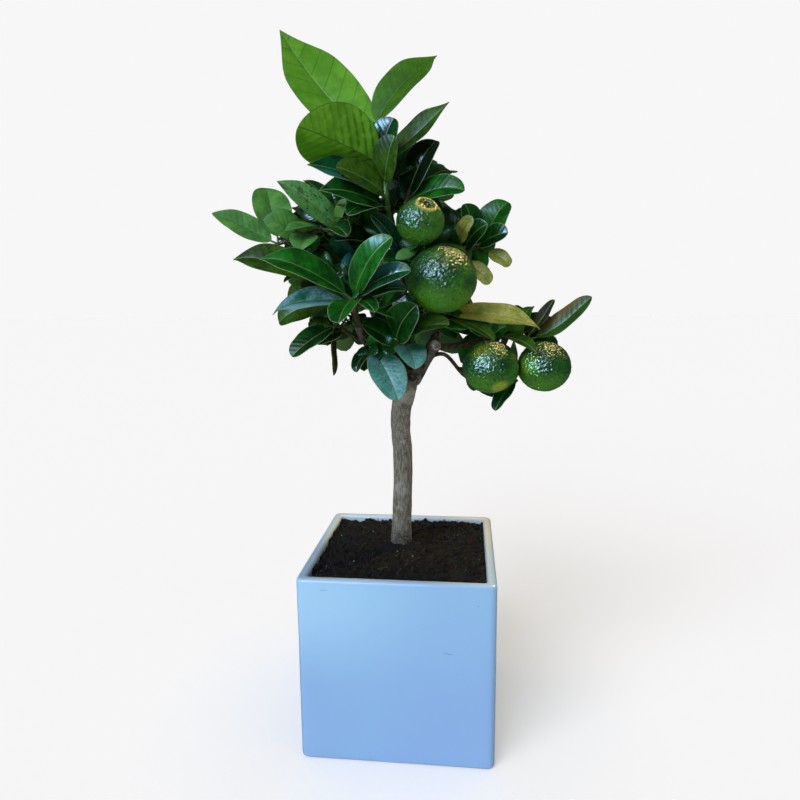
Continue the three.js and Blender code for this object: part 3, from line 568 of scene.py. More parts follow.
def strewing_tree(name, material, seed):
    tree = bpy.data.node_groups.new(name, "GeometryNodeTree")
    face = tree.interface
    face.new_socket("Geometry", in_out="INPUT", socket_type="NodeSocketGeometry")
    for label in ("Count per square metre", "Size", "Stretch"):
        face.new_socket(label, in_out="INPUT", socket_type="NodeSocketFloat")
    face.new_socket("Geometry", in_out="OUTPUT", socket_type="NodeSocketGeometry")
    given = add_node(tree, "NodeGroupInput").outputs
    normal = add_node(tree, "GeometryNodeInputNormal").outputs[0]
    looks_up = {0: result(tree, "axis", normal), 1: LEAST_UP}
    up = add_node(tree, "FunctionNodeCompare", looks_up, operation="GREATER_THAN")
    ground = {"Mesh": given[0], "Selection": up.outputs[0], "Density": given[1], "Seed": seed}
    strewn = add_node(tree, "GeometryNodeDistributePointsOnFaces", ground)
    lump = add_node(tree, "GeometryNodeMeshIcoSphere", {"Radius": 1.0, "Subdivisions": 2})
    rough = add_node(tree, "ShaderNodeTexNoise", {"Scale": LUMP_ROUGHNESS}).outputs["Color"]
    shift = add_node(tree, "ShaderNodeVectorMath", {0: rough, 1: (0.5, 0.5, 0.5)}, operation="SUBTRACT")
    bent = {"Geometry": lump.outputs["Mesh"], "Offset": shift.outputs[0]}
    bent = add_node(tree, "GeometryNodeSetPosition", bent)
    width = {2: LUMP_SIZES[0], 3: LUMP_SIZES[1], "Seed": seed + 1}
    width = add_node(tree, "FunctionNodeRandomValue", width, data_type="FLOAT")
    size = result(tree, "MULTIPLY", width.outputs[1], given[2])
    scale = {"X": result(tree, "MULTIPLY", size, given[3]), "Y": size, "Z": size}
    turn = {0: (0, 0, 0), 1: (math.tau, math.tau, math.tau), "Seed": seed + 2}
    lumps = {
        "Points": strewn.outputs["Points"],
        "Instance": bent.outputs["Geometry"],
        "Rotation": add_node(tree, "FunctionNodeRandomValue", turn, data_type="FLOAT_VECTOR").outputs[0],
        "Scale": add_node(tree, "ShaderNodeCombineXYZ", scale).outputs[0],
    }
    lumps = add_node(tree, "GeometryNodeInstanceOnPoints", lumps).outputs["Instances"]
    joined = add_node(tree, "GeometryNodeRealizeInstances", {"Geometry": lumps}).outputs[0]
    finished = add_node(tree, "GeometryNodeSetMaterial", {"Geometry": joined, "Material": material})
    add_node(tree, "NodeGroupOutput", {"Geometry": finished.outputs[0]})
    return tree


def worked_out(piece):
    """The mesh that the piece's modifiers give. The piece loses them."""
    graph = bpy.context.evaluated_depsgraph_get()
    mesh = bpy.data.meshes.new_from_object(piece.evaluated_get(graph))
    piece.modifiers.clear()
    return mesh


def strew(name, material, per_square_metre, size_mm, stretch, seed):
    """Runs the tree over the soil and keeps the result as a plain mesh of its own."""
    tree = strewing_tree(name + "_tree", material, seed)
    modifier = soil.modifiers.new(name, "NODES")
    modifier.node_group = tree
    values = {"Count per square metre": per_square_metre, "Size": size_mm * MM, "Stretch": stretch}
    for item in tree.interface.items_tree:
        if item.in_out == "INPUT" and item.name in values:
            modifier[item.identifier] = float(values[item.name])
    mesh = worked_out(soil)
    mesh.name = name
    finish_piece(placed(name, mesh), "soil")


CRUMB_FINISH = potting_mix("bark_crumbs", "#110f0d", "#3c3026", "#52301f", 1.2)
FIBRE_FINISH = potting_mix("coir_fibre", "#3a2c1d", "#97805c", "#7a5030", 1.0)
GRAIN_FINISH = new_material("white_mineral_grains", Roughness=0.8, Base_Color="#c9c4ba")[0]
strew("soil_crumbs", CRUMB_FINISH, 36000, 1.6, 1.4, 5)
strew("soil_fibres", FIBRE_FINISH, 3800, 0.28, 18.0, 17)
strew("soil_grains", GRAIN_FINISH, 900, 0.4, 1.1, 29)

# %% [markdown]
# ## The plant's sizes
# The solids grew by a rule from these same numbers, in millimetres. A limb is a row of points with a radius
# at each. A mass of leaves has a stem, the side its leaves face as heading and rise, and the space it keeps
# to. Each leaf that shows in the photo has a row: its tone, its place on the stem from 0 to 1, the heading
# and rise it points in, its length, its turn about the midrib, its width, and its arch if that isn't 32.
# A fruit's row has its place on the stem, its centre and its radius.

# %% Limbs and masses
LIMBS = {
    "trunk": [
        (-4, 6, 151, 12), (-3.4, 5.6, 162, 9.1), (-3, 5, 174, 8.5), (-2, 4, 202, 8.1),
        (-1.2, 3, 246, 8.2), (-3, 2, 268, 8.2), (-2, 1, 286, 8.4), (2, 0, 304, 9.2), (5.5, 0, 322, 9.6),
    ],
    "bough_left": [(3, -2, 314, 7), (-15, -10, 334, 5.6), (-26, -28, 347, 4.8), (-31, -50, 362, 3.6)],
    "bough_right": [(7, 0, 312, 7.2), (19, -3, 331, 6.2), (30, -12, 345, 5.2)],
    "leader": [
        (5, 1, 316, 6.6), (4, 6, 350, 5.6), (-2, 4, 390, 4.6), (-5, -8, 425, 3.8), (-8, -26, 452, 2.8),
    ],
    "bough_left_high": [(2, 6, 362, 3.8), (-20, 6, 392, 3.4), (-42, 1, 427, 2.6)],
    "bough_right_high": [(3, 5, 368, 3.8), (18, 6, 392, 3.2), (34, 2, 414, 2.6)],
    "bough_back_left": [(0, 3, 311, 6), (-14, 26, 336, 4.8), (-34, 48, 372, 3)],
    "bough_back_right": [(8, 4, 312, 6), (22, 28, 338, 4.8), (40, 46, 372, 3)],
    "bough_back_high": [(-1, 5, 384, 3.6), (2, 26, 414, 3), (4, 42, 444, 2.4)],
}
MASSES = {
    "leaves_top": {
        "stem": [(-8, -27, 450, 2.4), (-9, -34, 464, 2.3), (-14, -24, 492, 2.1), (-21, -16, 523, 1.6)],
        "facing": (-90, 20),
        "shown": [
            ("flush", 0.85, 172, 48, 126, 19, 58, -56),
            ("flush_olive", 0.97, 23, 47, 80, -21, 38),
            ("flush_under", 0.62, -133, 12, 80, 121, 56),
            ("deep", 0.6, -50, 65, 38, -22, 30),
            ("olive", 0.66, -6, 38, 68, -26, 28, -20),
            ("olive", 0.42, -65, 55, 40, -30, 30),
            ("olive", 0.32, -143, 22, 47, 23, 30),
            ("bluish", 0.26, -155, 20, 68, 32, 30),
            ("deep", 0.06, -133, 9, 67, 15, 30),
            ("deep", 0.1, -126, -8, 46, 23, 22),
        ],
        "filling": 4, "reach": 16, "leaf_length": 46, "seed": 11,
        "space": ((-5, 4, 480), (48, 46, 44)),
    },
    "leaves_top_right": {
        "stem": [(-3, -6, 420, 2.2), (2, -16, 446, 2), (9, -26, 468, 1.6)],
        "facing": (-90, 25),
        "shown": [
            ("blackish", 0.75, -7, 65, 56, -32, 36),
            ("deep", 0.9, 45, 29, 59, -15, 28),
            ("rich", 0.8, -30, 7, 54, -11, 26),
        ],
        "filling": 9, "reach": 16, "leaf_length": 44, "seed": 12,
        "space": ((14, 10, 462), (38, 50, 42)),
    },
    "leaves_left_high": {
        "stem": [(-40, 1, 425, 2.2), (-54, -12, 440, 2), (-75, -20, 437, 1.8), (-106, -16, 428, 1.5)],
        "facing": (-90, 15),
        "shown": [
            ("matte", 0.97, -167, 27, 59, 29, 26, -10),
            ("matte", 0.97, 126, 63, 60, 30, 34),
            ("matte", 0.72, -137, 16, 38, -2, 24),
            ("matte", 0.68, -93, -32, 30, -3, 24),
            ("matte", 0.5, -128, -5, 40, 42, 18),
            ("spotted", 0.2, -151, 37, 71, 27, 26),
            ("deep", 0.25, 164, 55, 59, 50, 22),
            ("deep", 0.45, -58, -10, 42, -27, 20),
            ("pale", 0.3, -61, 48, 30, -34, 16),
            ("brown", 0.5, 136, 28, 51, 30, 20),
        ],
        "filling": 14, "reach": 20, "leaf_length": 46, "seed": 13,
        "space": ((-72, 14, 432), (60, 56, 38)),
    },
    "leaves_left_front": {
        "stem": [(-30.5, -48, 360.5, 2.6), (-29, -74, 375, 2.4), (-28, -86, 382, 2)],
        "facing": (-90, 30),
        "shown": [
            ("rich", 0.97, -167, 27, 75, 30, 32),
            ("rich", 0.98, -41, 47, 59, -4, 25),
            ("bluish", 0.97, -12, 36, 41, -21, 22),
            ("bluish", 0.97, -29, 23, 55, -13, 22),
            ("bluish", 0.85, -8, 15, 42, -27, 20),
            ("rich", 0.97, -94, -19, 44, 12, 24),
            ("rich", 0.97, -53, -11, 34, -28, 16),
            ("sheen", 0.88, 174, -5, 68, 24, 26),
            ("pale", 0.7, -174, 30, 33, 36, 14),
            ("deep", 0.1, 28, -28, 33, -22, 26),
        ],
        "filling": 3, "reach": 20, "leaf_length": 44, "seed": 14,
        "space": ((-34, -70, 380), (54, 40, 40)),
    },
    "leaves_left_mid": {
        "stem": [(-29, -40, 354, 2.2), (-39, -41, 376, 2), (-52, -48, 391, 1.9), (-70, -53, 401, 1.5)],
        "facing": (-90, 10),
        "shown": [
            ("olive", 0.8, -170, 18, 74, 39, 32),
            ("olive", 0.55, -173, -22, 55, 27, 32),
            ("deep", 0.92, -155, -4, 24, 56, 14),
        ],
        "filling": 12, "reach": 20, "leaf_length": 44, "seed": 15,
        "space": ((-58, -20, 396), (52, 48, 36)),
    },
    "leaves_left_low": {
        "stem": [(-24, -26, 345, 2.2), (-38, -38, 353, 1.9), (-48, -60, 364, 1.5)],
        "facing": (-90, 40),
        "shown": [
            ("deep", 0.9, -142, -29, 46, 13, 24),
            ("deep", 0.72, -144, -19, 27, 10, 22),
            ("brown", 0.97, 95, -81, 42, -89, 16, -40),
        ],
        "filling": 10, "reach": 18, "leaf_length": 44, "seed": 16,
        "space": ((-52, -16, 360), (42, 48, 24)),
    },
    "leaves_low_front": {
        "stem": [(-17, -13, 336, 2), (-21, -26, 342, 1.8), (-23, -38, 343, 1.6)],
        "facing": (-90, 20),
        "shown": [
            ("sheen_pale", 0.97, -40, -51, 52, -20, 30),
            ("deep", 0.9, -128, -45, 26, 32, 16),
        ],
        "filling": 0, "reach": 12, "leaf_length": 36, "seed": 17,
        "space": ((-20, -40, 335), (40, 36, 24)),
    },
    "leaves_centre": {
        "stem": [(16, -4, 328, 2.2), (9, -28, 343, 2), (-1, -50, 350, 1.6)],
        "facing": (-90, 25),
        "shown": [
            ("deep", 0.97, -63, 35, 49, 9, 28),
            ("olive", 0.97, -33, 17, 53, -33, 24),
            ("sheen_pale", 0.7, -70, -25, 37, -23, 26),
        ],
        "filling": 10, "reach": 16, "leaf_length": 42, "seed": 18,
        "space": ((0, -20, 366), (34, 50, 30)),
    },
    "leaves_fruit_pair": {
        "stem": [(-3, 0, 402, 2.4), (6, -18, 412, 2.2), (20, -34, 418, 1.8)],
        "facing": (-90, 20),
        "shown": [
            ("deep", 0.5, -103, -8, 50, -9, 24),
            ("bluish", 0.3, -120, 44, 57, 32, 20),
        ],
        "fruits": [(0.85, 36, -64, 396, 26.7), (1, 19.8, -62, 439, 18.3)],
        "filling": 8, "reach": 14, "leaf_length": 40, "seed": 19,
        "space": ((12, -24, 420), (46, 40, 44)),
    },
    "leaves_shelf": {
        "stem": [(4, 5, 357, 2.2), (16, -16, 366, 2), (36, -34, 369, 1.6)],
        "facing": (-90, 45),
        "shown": [
            ("gold", 0.97, -12, -5, 81, -7, 26),
            ("olive", 0.9, -33, -17, 57, -19, 18),
        ],
        "filling": 10, "reach": 14, "leaf_length": 42, "seed": 20,
        "space": ((46, -12, 380), (50, 44, 34)),
    },
    "leaves_right_high": {
        "stem": [(33, 2, 413, 2.2), (50, 2, 423, 2), (68, 6, 427, 1.6)],
        "facing": (-90, 10),
        "shown": [
            ("rich", 0.97, -12, 60, 42, -28, 30),
            ("deep", 0.9, -43, 16, 33, -33, 24),
            ("deep", 0.7, -104, 72, 37, 38, 26),
            ("deep", 0.6, -65, 24, 40, -22, 22),
            ("spoon", 0.5, -83, 22, 53, -30, 15),
            ("spoon", 0.85, -32, -28, 37, -20, 15),
            ("spoon", 0.3, -36, -32, 46, -22, 16),
        ],
        "filling": 14, "reach": 16, "leaf_length": 42, "seed": 21,
        "space": ((44, 26, 426), (40, 56, 38)),
    },
    "leaves_right_low": {
        "stem": [(28, -9, 341, 2.8), (54, -10, 344, 2.5), (80, -10, 350, 2.2), (109, -16, 348, 1.7)],
        "facing": (-90, 35),
        "shown": [
            ("tanned", 0.97, -11, 38, 60, -25, 24, -60),
            ("brown", 0.94, 12, 55, 40, -41, 16, -20),
            ("olive", 0.88, 53, 58, 33, -40, 18),
            ("rich", 0.55, 175, 42, 23, 24, 18),
            ("olive", 0.62, -58, -7, 63, -23, 16),
            ("rich", 0.6, -1, 32, 21, -22, 18),
        ],
        "fruits": [(0.7, 74.5, -38, 327.5, 22.7), (0.96, 117.5, -31, 327.3, 21.6)],
        "filling": 12, "reach": 18, "leaf_length": 42, "seed": 22,
        "space": ((84, 14, 350), (58, 52, 28)),
    },
    "leaves_droop": {
        "stem": [
            (23, -6, 333, 2), (36, -6, 335, 1.8), (56, -8, 315, 1.6), (86, -10, 306, 1.4),
            (98, -14, 314, 1.2),
        ],
        "facing": (-90, 20),
        "shown": [
            ("deep", 0.97, -131, -39, 35, 39, 17),
        ],
        "filling": 5, "reach": 12, "leaf_length": 34, "seed": 23,
        "space": ((88, 14, 318), (46, 46, 26)),
    },
    "leaves_back_left": {
        "stem": [(-33, 47, 371, 2.6), (-46, 58, 385, 2.2), (-56, 64, 400, 1.6)],
        "facing": (125, 40),
        "fruits": [(0.6, -60, 86, 388, 21)],
        "filling": 26, "reach": 26, "leaf_length": 52, "seed": 24,
        "space": ((-58, 68, 396), (62, 62, 56)),
    },
    "leaves_back_right": {
        "stem": [(39.5, 45.5, 371, 2.6), (46, 54, 388, 2.2), (46, 60, 402, 1.6)],
        "facing": (55, 40),
        "fruits": [(0.5, 40, 78, 372, 22)],
        "filling": 24, "reach": 26, "leaf_length": 52, "seed": 25,
        "space": ((34, 74, 390), (42, 62, 56)),
    },
    "leaves_back_high": {
        "stem": [(3.8, 41, 443, 2.2), (2, 46, 462, 2), (-4, 48, 480, 1.6)],
        "facing": (90, 45),
        "fruits": [(0.4, 14, 66, 434, 19)],
        "filling": 26, "reach": 24, "leaf_length": 50, "seed": 26,
        "space": ((0, 58, 468), (52, 62, 58)),
    },
    "leaves_inner_left": {
        "stem": [(-4, 0, 410, 2.2), (-18, 4, 430, 2), (-28, 4, 446, 1.6)],
        "facing": (-110, 40),
        "filling": 16, "reach": 18, "leaf_length": 46, "seed": 27,
        "space": ((-36, 4, 450), (44, 44, 36)),
    },
    "leaves_back_low": {
        "stem": [(4, 9, 350, 2.4), (2, 30, 354, 2.2), (0, 52, 360, 1.8)],
        "facing": (90, 35),
        "filling": 20, "reach": 24, "leaf_length": 50, "seed": 28,
        "space": ((0, 62, 356), (64, 60, 42)),
    },
}

shown_count = sum(len(mass.get("shown", [])) for mass in MASSES.values())
print("limbs:", len(LIMBS), "masses:", len(MASSES), "leaves by row:", shown_count)

# %% [markdown]
# ## Directions and smooth lines
# A heading is an angle seen from above, with 0 towards +X and -90 towards the front, and a rise is an angle
# over the horizon. Limbs follow a smooth curve through their points, whose pace depends on how far apart the
# points are, so that it doesn't swing out on the long steps.

# %% Small geometry helpers
UP = np.array([0.0, 0.0, 1.0])


def unit(v):
    return v / np.linalg.norm(v)


def direction(heading, rise):
    """A way of length 1, from an angle seen from above and an angle over the horizon."""
    turn, lift = math.radians(heading), math.radians(rise)
    return np.array([math.cos(lift) * math.cos(turn), math.cos(lift) * math.sin(turn), math.sin(lift)])


def square_to(axis, towards):
    """The part of one direction that is square to another, at length 1."""
    return unit(towards - axis * np.dot(towards, axis))


def turned(v, axis, degrees):
    c, s = math.cos(math.radians(degrees)), math.sin(math.radians(degrees))
    return v * c + np.cross(axis, v) * s + axis * np.dot(axis, v) * (1 - c)


def between(low, high, share):
    return low + (high - low) * share


def on_line(points, share):
    """A point of the smooth line, from 0 at its first point to 1 at its last."""
    places = [np.array(p[:3], float) for p in points]
    last = len(places) - 1
    k = min(int(share * last), last - 1)
    w = share * last - k
    before = places[k - 1] if k else 2 * places[0] - places[1]
    after = places[k + 2] if k + 2 <= last else 2 * places[last] - places[last - 1]
    a, b = places[k], places[k + 1]
    d0, d1, d2 = (np.linalg.norm(q - p) ** 0.5 for p, q in ((before, a), (a, b), (b, after)))
    leave = ((a - before) / d0 - (b - before) / (d0 + d1) + (b - a) / d1) * d1
    arrive = ((b - a) / d1 - (after - a) / (d1 + d2) + (after - b) / d2) * d1
    return a + leave * w + (3 * (b - a) - 2 * leave - arrive) * w * w + (2 * (a - b) + leave + arrive) * w**3


def radius_on(points, share):
    return float(np.interp(share * (len(points) - 1), range(len(points)), [p[3] for p in points]))


def numbers(seed):
    """A repeatable run of numbers from 0 to 1."""
    state = seed * 7919
    while True:
        state = (state * 1664525 + 1013904223) & 0xFFFFFFFF
        yield state / 4294967296


print("tip of the leader:", on_line(LIMBS["leader"], 1.0).round(1))

# %% [markdown]
# ## The growing rule
# A citrus twig bears its leaves one by one, each turned on by about 137 degrees, wide open at the foot of the
# twig and closer to it at its tip. The rule draws every number of a twig before anything is tested, so the
# same seed always gives the same twigs. A drawn leaf that the solids had no room for has no tip among their
# points, and it is left out here too.

# %% Grow the twigs and leaves
GOLDEN_ANGLE = 137.5
GOLDEN_SHARE = 0.618
SEED_TURN = 111.6
TWIGS_TRIED = 400
LEAF_ARCH = 32
SAME_PLACE = 0.06  # mm
TWIG_RULE = {"leaves": 6, "opening": (68, 18), "spin": 90, "sizes": (0.75, 1.2), "turn": 25, "from": 0.3}


def leaf_at(base, along, facing, turn, length, width, arch=LEAF_ARCH, tone="deep", shown=False):
    leaf = {"base": base, "along": along, "length": length, "width": width, "tone": tone, "shown": shown}
    leaf["face"] = turned(square_to(along, facing), along, turn)
    leaf["arch"] = math.radians(arch)
    return leaf


def tip_of(leaf):
    half = leaf["arch"] / 2
    return leaf["base"] + leaf["along"] * leaf["length"] * math.sin(half) / half


def leaves_of_twig(mass, start, end, way, rule, draw, onward=0):
    """A twig's leaves, from its foot to its tip, from the next numbers of the mass's run."""
    sideways = square_to(way, UP)
    facing = direction(*mass["facing"])
    leaves = []
    for j in range(rule["leaves"]):
        order = j / (rule["leaves"] - 1)
        opening = math.radians(between(*rule["opening"], order) + 14 * next(draw))
        outward = turned(sideways, way, j * GOLDEN_ANGLE + rule["spin"] * next(draw) + onward)
        along = way * math.cos(opening) + outward * math.sin(opening)
        length = mass["leaf_length"] * between(*rule["sizes"], next(draw))
        turn = between(-rule["turn"], rule["turn"], next(draw))
        root = start + (end - start) * between(rule["from"], 1, order)
        leaves.append(leaf_at(root, along, facing, turn, length, length / 2))
    return leaves


def drawn_twig(mass, index, draw):
    at = between(0.25, 1, (index * GOLDEN_SHARE + next(draw) * 0.2) % 1)
    heading = index * GOLDEN_ANGLE + mass["seed"] * SEED_TURN + 40 * next(draw)
    way = direction(heading, between(-15, 50, next(draw)))
    start = on_line(mass["stem"], at)
    end = start + way * mass["reach"] * between(0.7, 1.3, next(draw))
    return start, end, leaves_of_twig(mass, start, end, way, TWIG_RULE, draw, index * 60)


def search_tree(points):
    tree = kdtree.KDTree(len(points))
    for k, point in enumerate(points):
        tree.insert(point, k)
    tree.balance()
    return tree


def grow(name, mass):
    """The mass's twigs and leaves: those with rows first, then those of the rule."""
    facing = direction(*mass["facing"])
    leaves, twigs = [], []
    for tone, at, heading, rise, length, turn, width, *arch in mass.get("shown", []):
        place, way = on_line(mass["stem"], at), direction(heading, rise)
        leaves.append(leaf_at(place, way, facing, turn, length, width, *arch, tone=tone, shown=True))
    solid = search_tree([corner.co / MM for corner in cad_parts[name].data.vertices])
    draw = numbers(mass["seed"])
    room = mass["filling"]
    for index in range(TWIGS_TRIED):
        start, end, drawn = drawn_twig(mass, index, draw)
        if room <= 0:
            break
        kept = [leaf for leaf in drawn if solid.find(tip_of(leaf))[2] < SAME_PLACE]
        if kept:
            room -= len(kept)
            leaves += kept
            twigs.append((start, end, kept))
    return leaves, twigs


GROWN = {name: grow(name, mass) for name, mass in MASSES.items()}
print("leaves:", sum(len(leaves) for leaves, _ in GROWN.values()))
print("twigs:", sum(len(twigs) for _, twigs in GROWN.values()))

# %% [markdown]
# ### Finer twigs
# The solids carry only as many leaves as their faces allow. Here each twig and stem goes on into short side
# twigs with three smaller leaves each. A leaf is kept only where it stays clear of everything grown so far,
# but near some other leaf, so the crown fills from inside and the gaps with sky in them stay open.

# %% Carry the rule on to finer twigs
FINE_RULE = {"leaves": 3, "opening": (62, 24), "spin": 120, "sizes": (0.5, 0.72), "turn": 30, "from": 0.45}
FINE_REACH = 0.5
FINE_TRIES = 60
FINE_MOST = 16
CLEAR_MM = 2.6
NEAR_MM = 11.0
TOUCH_PLACES = (  # along a leaf and across it, over its length and its width
    (0.35, 0), (0.6, 0), (0.85, 0), (1.0, 0), (0.5, 0.42), (0.5, -0.42), (0.75, 0.33), (0.75, -0.33),
)


def touch_points(leaf):
    """A few points of a leaf, for testing what it would touch."""
    side = np.cross(leaf["face"], leaf["along"]) * leaf["width"]
    reach = tip_of(leaf) - leaf["base"]
    return np.array([leaf["base"] + reach * s + side * v for s, v in TOUCH_PLACES])


def fruit_points(fruit, count=90):
    """Points spread evenly over a ball a millimetre larger than the fruit."""
    _, x, y, z, radius = fruit
    order = np.arange(count) + 0.5
    lift = 1 - 2 * order / count
    turn = np.radians(GOLDEN_ANGLE) * order
    level = np.sqrt(1 - lift**2)
    ball = np.stack([level * np.cos(turn), level * np.sin(turn), lift], axis=1)
    return np.array([x, y, z]) + ball * (radius + 1)


def line_points(points, count):
    return np.array([on_line(points, k / count) for k in range(count + 1)])


def fine_spray(mass, start, way, draw):
    end = start + way * mass["reach"] * FINE_REACH * between(0.7, 1.3, next(draw))
    return start, end, leaves_of_twig(mass, start, end, way, FINE_RULE, draw)


def inside(point, space, share=0.95):
    return np.sum(((point - np.array(space[0])) / np.array(space[1])) ** 2) < share**2


grown_leaves = [leaf for leaves, _ in GROWN.values() for leaf in leaves]
near_points = np.concatenate([touch_points(leaf) for leaf in grown_leaves])
others = [line_points(points, 24) for points in LIMBS.values()]
others += [line_points(mass["stem"], 12) for mass in MASSES.values()]
others += [fruit_points(fruit) for mass in MASSES.values() for fruit in mass.get("fruits", [])]
taken = np.concatenate([near_points, *others])
FINE = {}
for name, mass in MASSES.items():
    leaves, twigs = GROWN[name]
    draw = numbers(mass["seed"] + 400)
    FINE[name] = []
    for attempt in range(FINE_TRIES):
        share = between(0.35, 1, next(draw))
        pick = next(draw)
        if twigs and pick < 0.7:
            start_low, start_high, _ = twigs[int(pick / 0.7 * len(twigs))]
            start = start_low + (start_high - start_low) * share
        else:
            start = on_line(mass["stem"], share)
        heading = attempt * GOLDEN_ANGLE + 40 * next(draw)
        way = direction(heading, between(-25, 55, next(draw)))
        start, end, drawn = fine_spray(mass, start, way, draw)
        kept = []
        for leaf in drawn:
            points = touch_points(leaf)
            gaps = np.linalg.norm(points[:, None] - taken, axis=2).min()
            reach = np.linalg.norm(points[:, None] - near_points, axis=2).min(axis=1).max()
            if gaps > CLEAR_MM and reach < NEAR_MM and inside(tip_of(leaf), mass["space"]):
                kept.append(leaf)
                taken = np.concatenate([taken, points])
        if kept and len(FINE[name]) < FINE_MOST:
            FINE[name].append((start, end, kept))
print("finer twigs:", sum(len(sprays) for sprays in FINE.values()))
print("finer leaves:", sum(len(kept) for sprays in FINE.values() for _, _, kept in sprays))

# %% [markdown]
# ## Bark
# The trunk and boughs are one skin of wood, thickest where they part. Overlapping tapered tubes are melted
# into one surface by a voxel remesh, as a modeller would join clay, and smoothed. Relief then follows the
# grain: each point knows how far it is along its own limb and round it, so cracks and ridges run lengthwise.

# %% Tubes along a smooth line
LIMB_STEP_MM = 3.0
LIMB_SIDES = 20


def limb_frame(points, count):
    """Places, radii and a pair of cross directions along a smooth line, without twisting."""
    shares = np.linspace(0, 1, count)
    places = np.array([on_line(points, s) for s in shares])
    radii = np.array([radius_on(points, s) for s in shares])
    heading = np.gradient(places, axis=0)
    heading /= np.linalg.norm(heading, axis=1)[:, None]
    first = square_to(heading[0], np.array([1.0, 0.3, 0.1]))
    firsts = [first]
    for way in heading[1:]:
        firsts.append(square_to(way, firsts[-1]))
    firsts = np.array(firsts)
    return places, radii, firsts, np.cross(heading, firsts)


def tube(points, sides, count=None):
    """The points and faces of a tapered tube with closed ends. Each row of points has a radius."""
    length = sum(np.linalg.norm(np.subtract(b[:3], a[:3])) for a, b in zip(points, points[1:]))
    count = count or max(3, round(length / LIMB_STEP_MM))
    places, radii, first, second = limb_frame(points, count)
    turn = np.arange(sides) / sides * math.tau
    rings = [
        place + radius * (np.outer(np.cos(turn), a) + np.outer(np.sin(turn), b))
        for place, radius, a, b in zip(places, radii, first, second)
    ]
    return np.concatenate(rings), skin(rings)


# %% Melt the limbs together
VOXEL_MM = 0.8
LIMB_SWELL = 1.1125  # how much thicker a bough is where it leaves its parent


def wood_base():
    """All limbs as one skin. The trunk goes on 2 mm further down, and each bough starts a little thicker."""
    heap = Heap()
    for name, points in LIMBS.items():
        x, y, z, radius = points[0]
        rows = [(x, y, z - 2, radius), *points]
        if name != "trunk":
            rows = [(x, y, z, radius * LIMB_SWELL), *points[1:]]
        heap.add(*tube(rows, LIMB_SIDES), 0)
    piece = heap.piece("bark", [])
    remesh = piece.modifiers.new("melt", "REMESH")
    remesh.mode = "VOXEL"
    remesh.voxel_size = VOXEL_MM * MM
    smooth = piece.modifiers.new("smooth", "SMOOTH")
    smooth.factor = 0.6
    smooth.iterations = 6
    piece.data = worked_out(piece)
    return piece


bark = wood_base()
print("bark points:", len(bark.data.vertices))

# %% Push the relief into the bark
RIDGE_MM = 0.3
LUMP_MM = 0.5
BARK_SWELL = 0.55  # what the smoothing took off
CRACK_WIDTH = 0.1  # how near 0 the noise of the cracks has to be
BARK_NOISES = ((1.9, 13, 0), (2.6, 9, 40), (20, 2.4, 90), (9, 11, 7))  # sizes across and along, and a layer


def grain_places(points):
    """Each point in its limb's own straightened space: across, across, and along."""
    samples = []
    for number, row in enumerate(LIMBS.values()):
        length = np.linalg.norm(np.diff([p[:3] for p in row], axis=0), axis=1).sum()
        count = max(8, int(length / 1.5))
        places, radii, first, second = limb_frame(row, count)
        along = np.linspace(0, length, count) + 200 * number
        samples += zip(places, radii, first, second, along)
    tree = search_tree([sample[0] for sample in samples])
    grain, surface = [], []
    for point in points:
        place, radius, first, second, along = samples[tree.find(point)[1]]
        offset = point - place
        grain.append((np.dot(offset, first), np.dot(offset, second), along))
        surface.append(radius)
    return np.array(grain), np.array(surface)


def bark_relief(grain):
    heights = []
    for across, over, along in grain:
        streak, crack, ring, lump = (
            noise.noise(Vector((across / wide, over / wide, along / long + layer)))
            for wide, long, layer in BARK_NOISES
        )
        deep = -0.9 * max(0.0, CRACK_WIDTH - abs(crack)) / CRACK_WIDTH
        heights.append(RIDGE_MM * (0.7 * streak + deep + 0.35 * ring) + LUMP_MM * lump)
    return np.array(heights)


def vectors(name):
    """A vector of each of the bark's points, by its name."""
    values = np.empty(len(bark.data.vertices) * 3)
    bark.data.vertices.foreach_get(name, values)
    return values.reshape(-1, 3)


bark_points = vectors("co") / MM
GRAIN, limb_radii = grain_places(bark_points)
share = np.clip(limb_radii / 8, 0.35, 1.15)
bark_points += vectors("normal") * ((BARK_SWELL + bark_relief(GRAIN)) * share)[:, None]
bark.data.vertices.foreach_set("co", (bark_points * MM).ravel())
bark.data.update()
grain_attribute = bark.data.attributes.new("grain", "FLOAT_VECTOR", "POINT")
grain_attribute.data.foreach_set("vector", (GRAIN * MM).ravel())
bark.data.polygons.foreach_set("use_smooth", [True] * len(bark.data.polygons))
print("bark between", bark_points.min(axis=0).round(1), "and", bark_points.max(axis=0).round(1))


# %% Finish the bark
BARK_MARKS = (  # centre, radius, colour and how far it covers
    ((30.2, -14, 344.2), 6.5, "#c4c1b8", 0.95),  # the cut stub
    # painted shade: the hollow of the fork
    ((8, -9, 316), 6, "#15100c", 0.9),  # the hollow of the fork
    ((4.5, -8, 298), 10, "#a5a698", 0.5),  # a pale place below it
    ((-2, -6, 214), 9, "#adac9f", 0.4),  # a pale place low on the trunk
    ((2, -9, 289.5), 4.5, "#241c15", 0.6),  # a knot
    ((-3, -8, 160), 20, "#24201a", 0.75),  # the dark foot
)


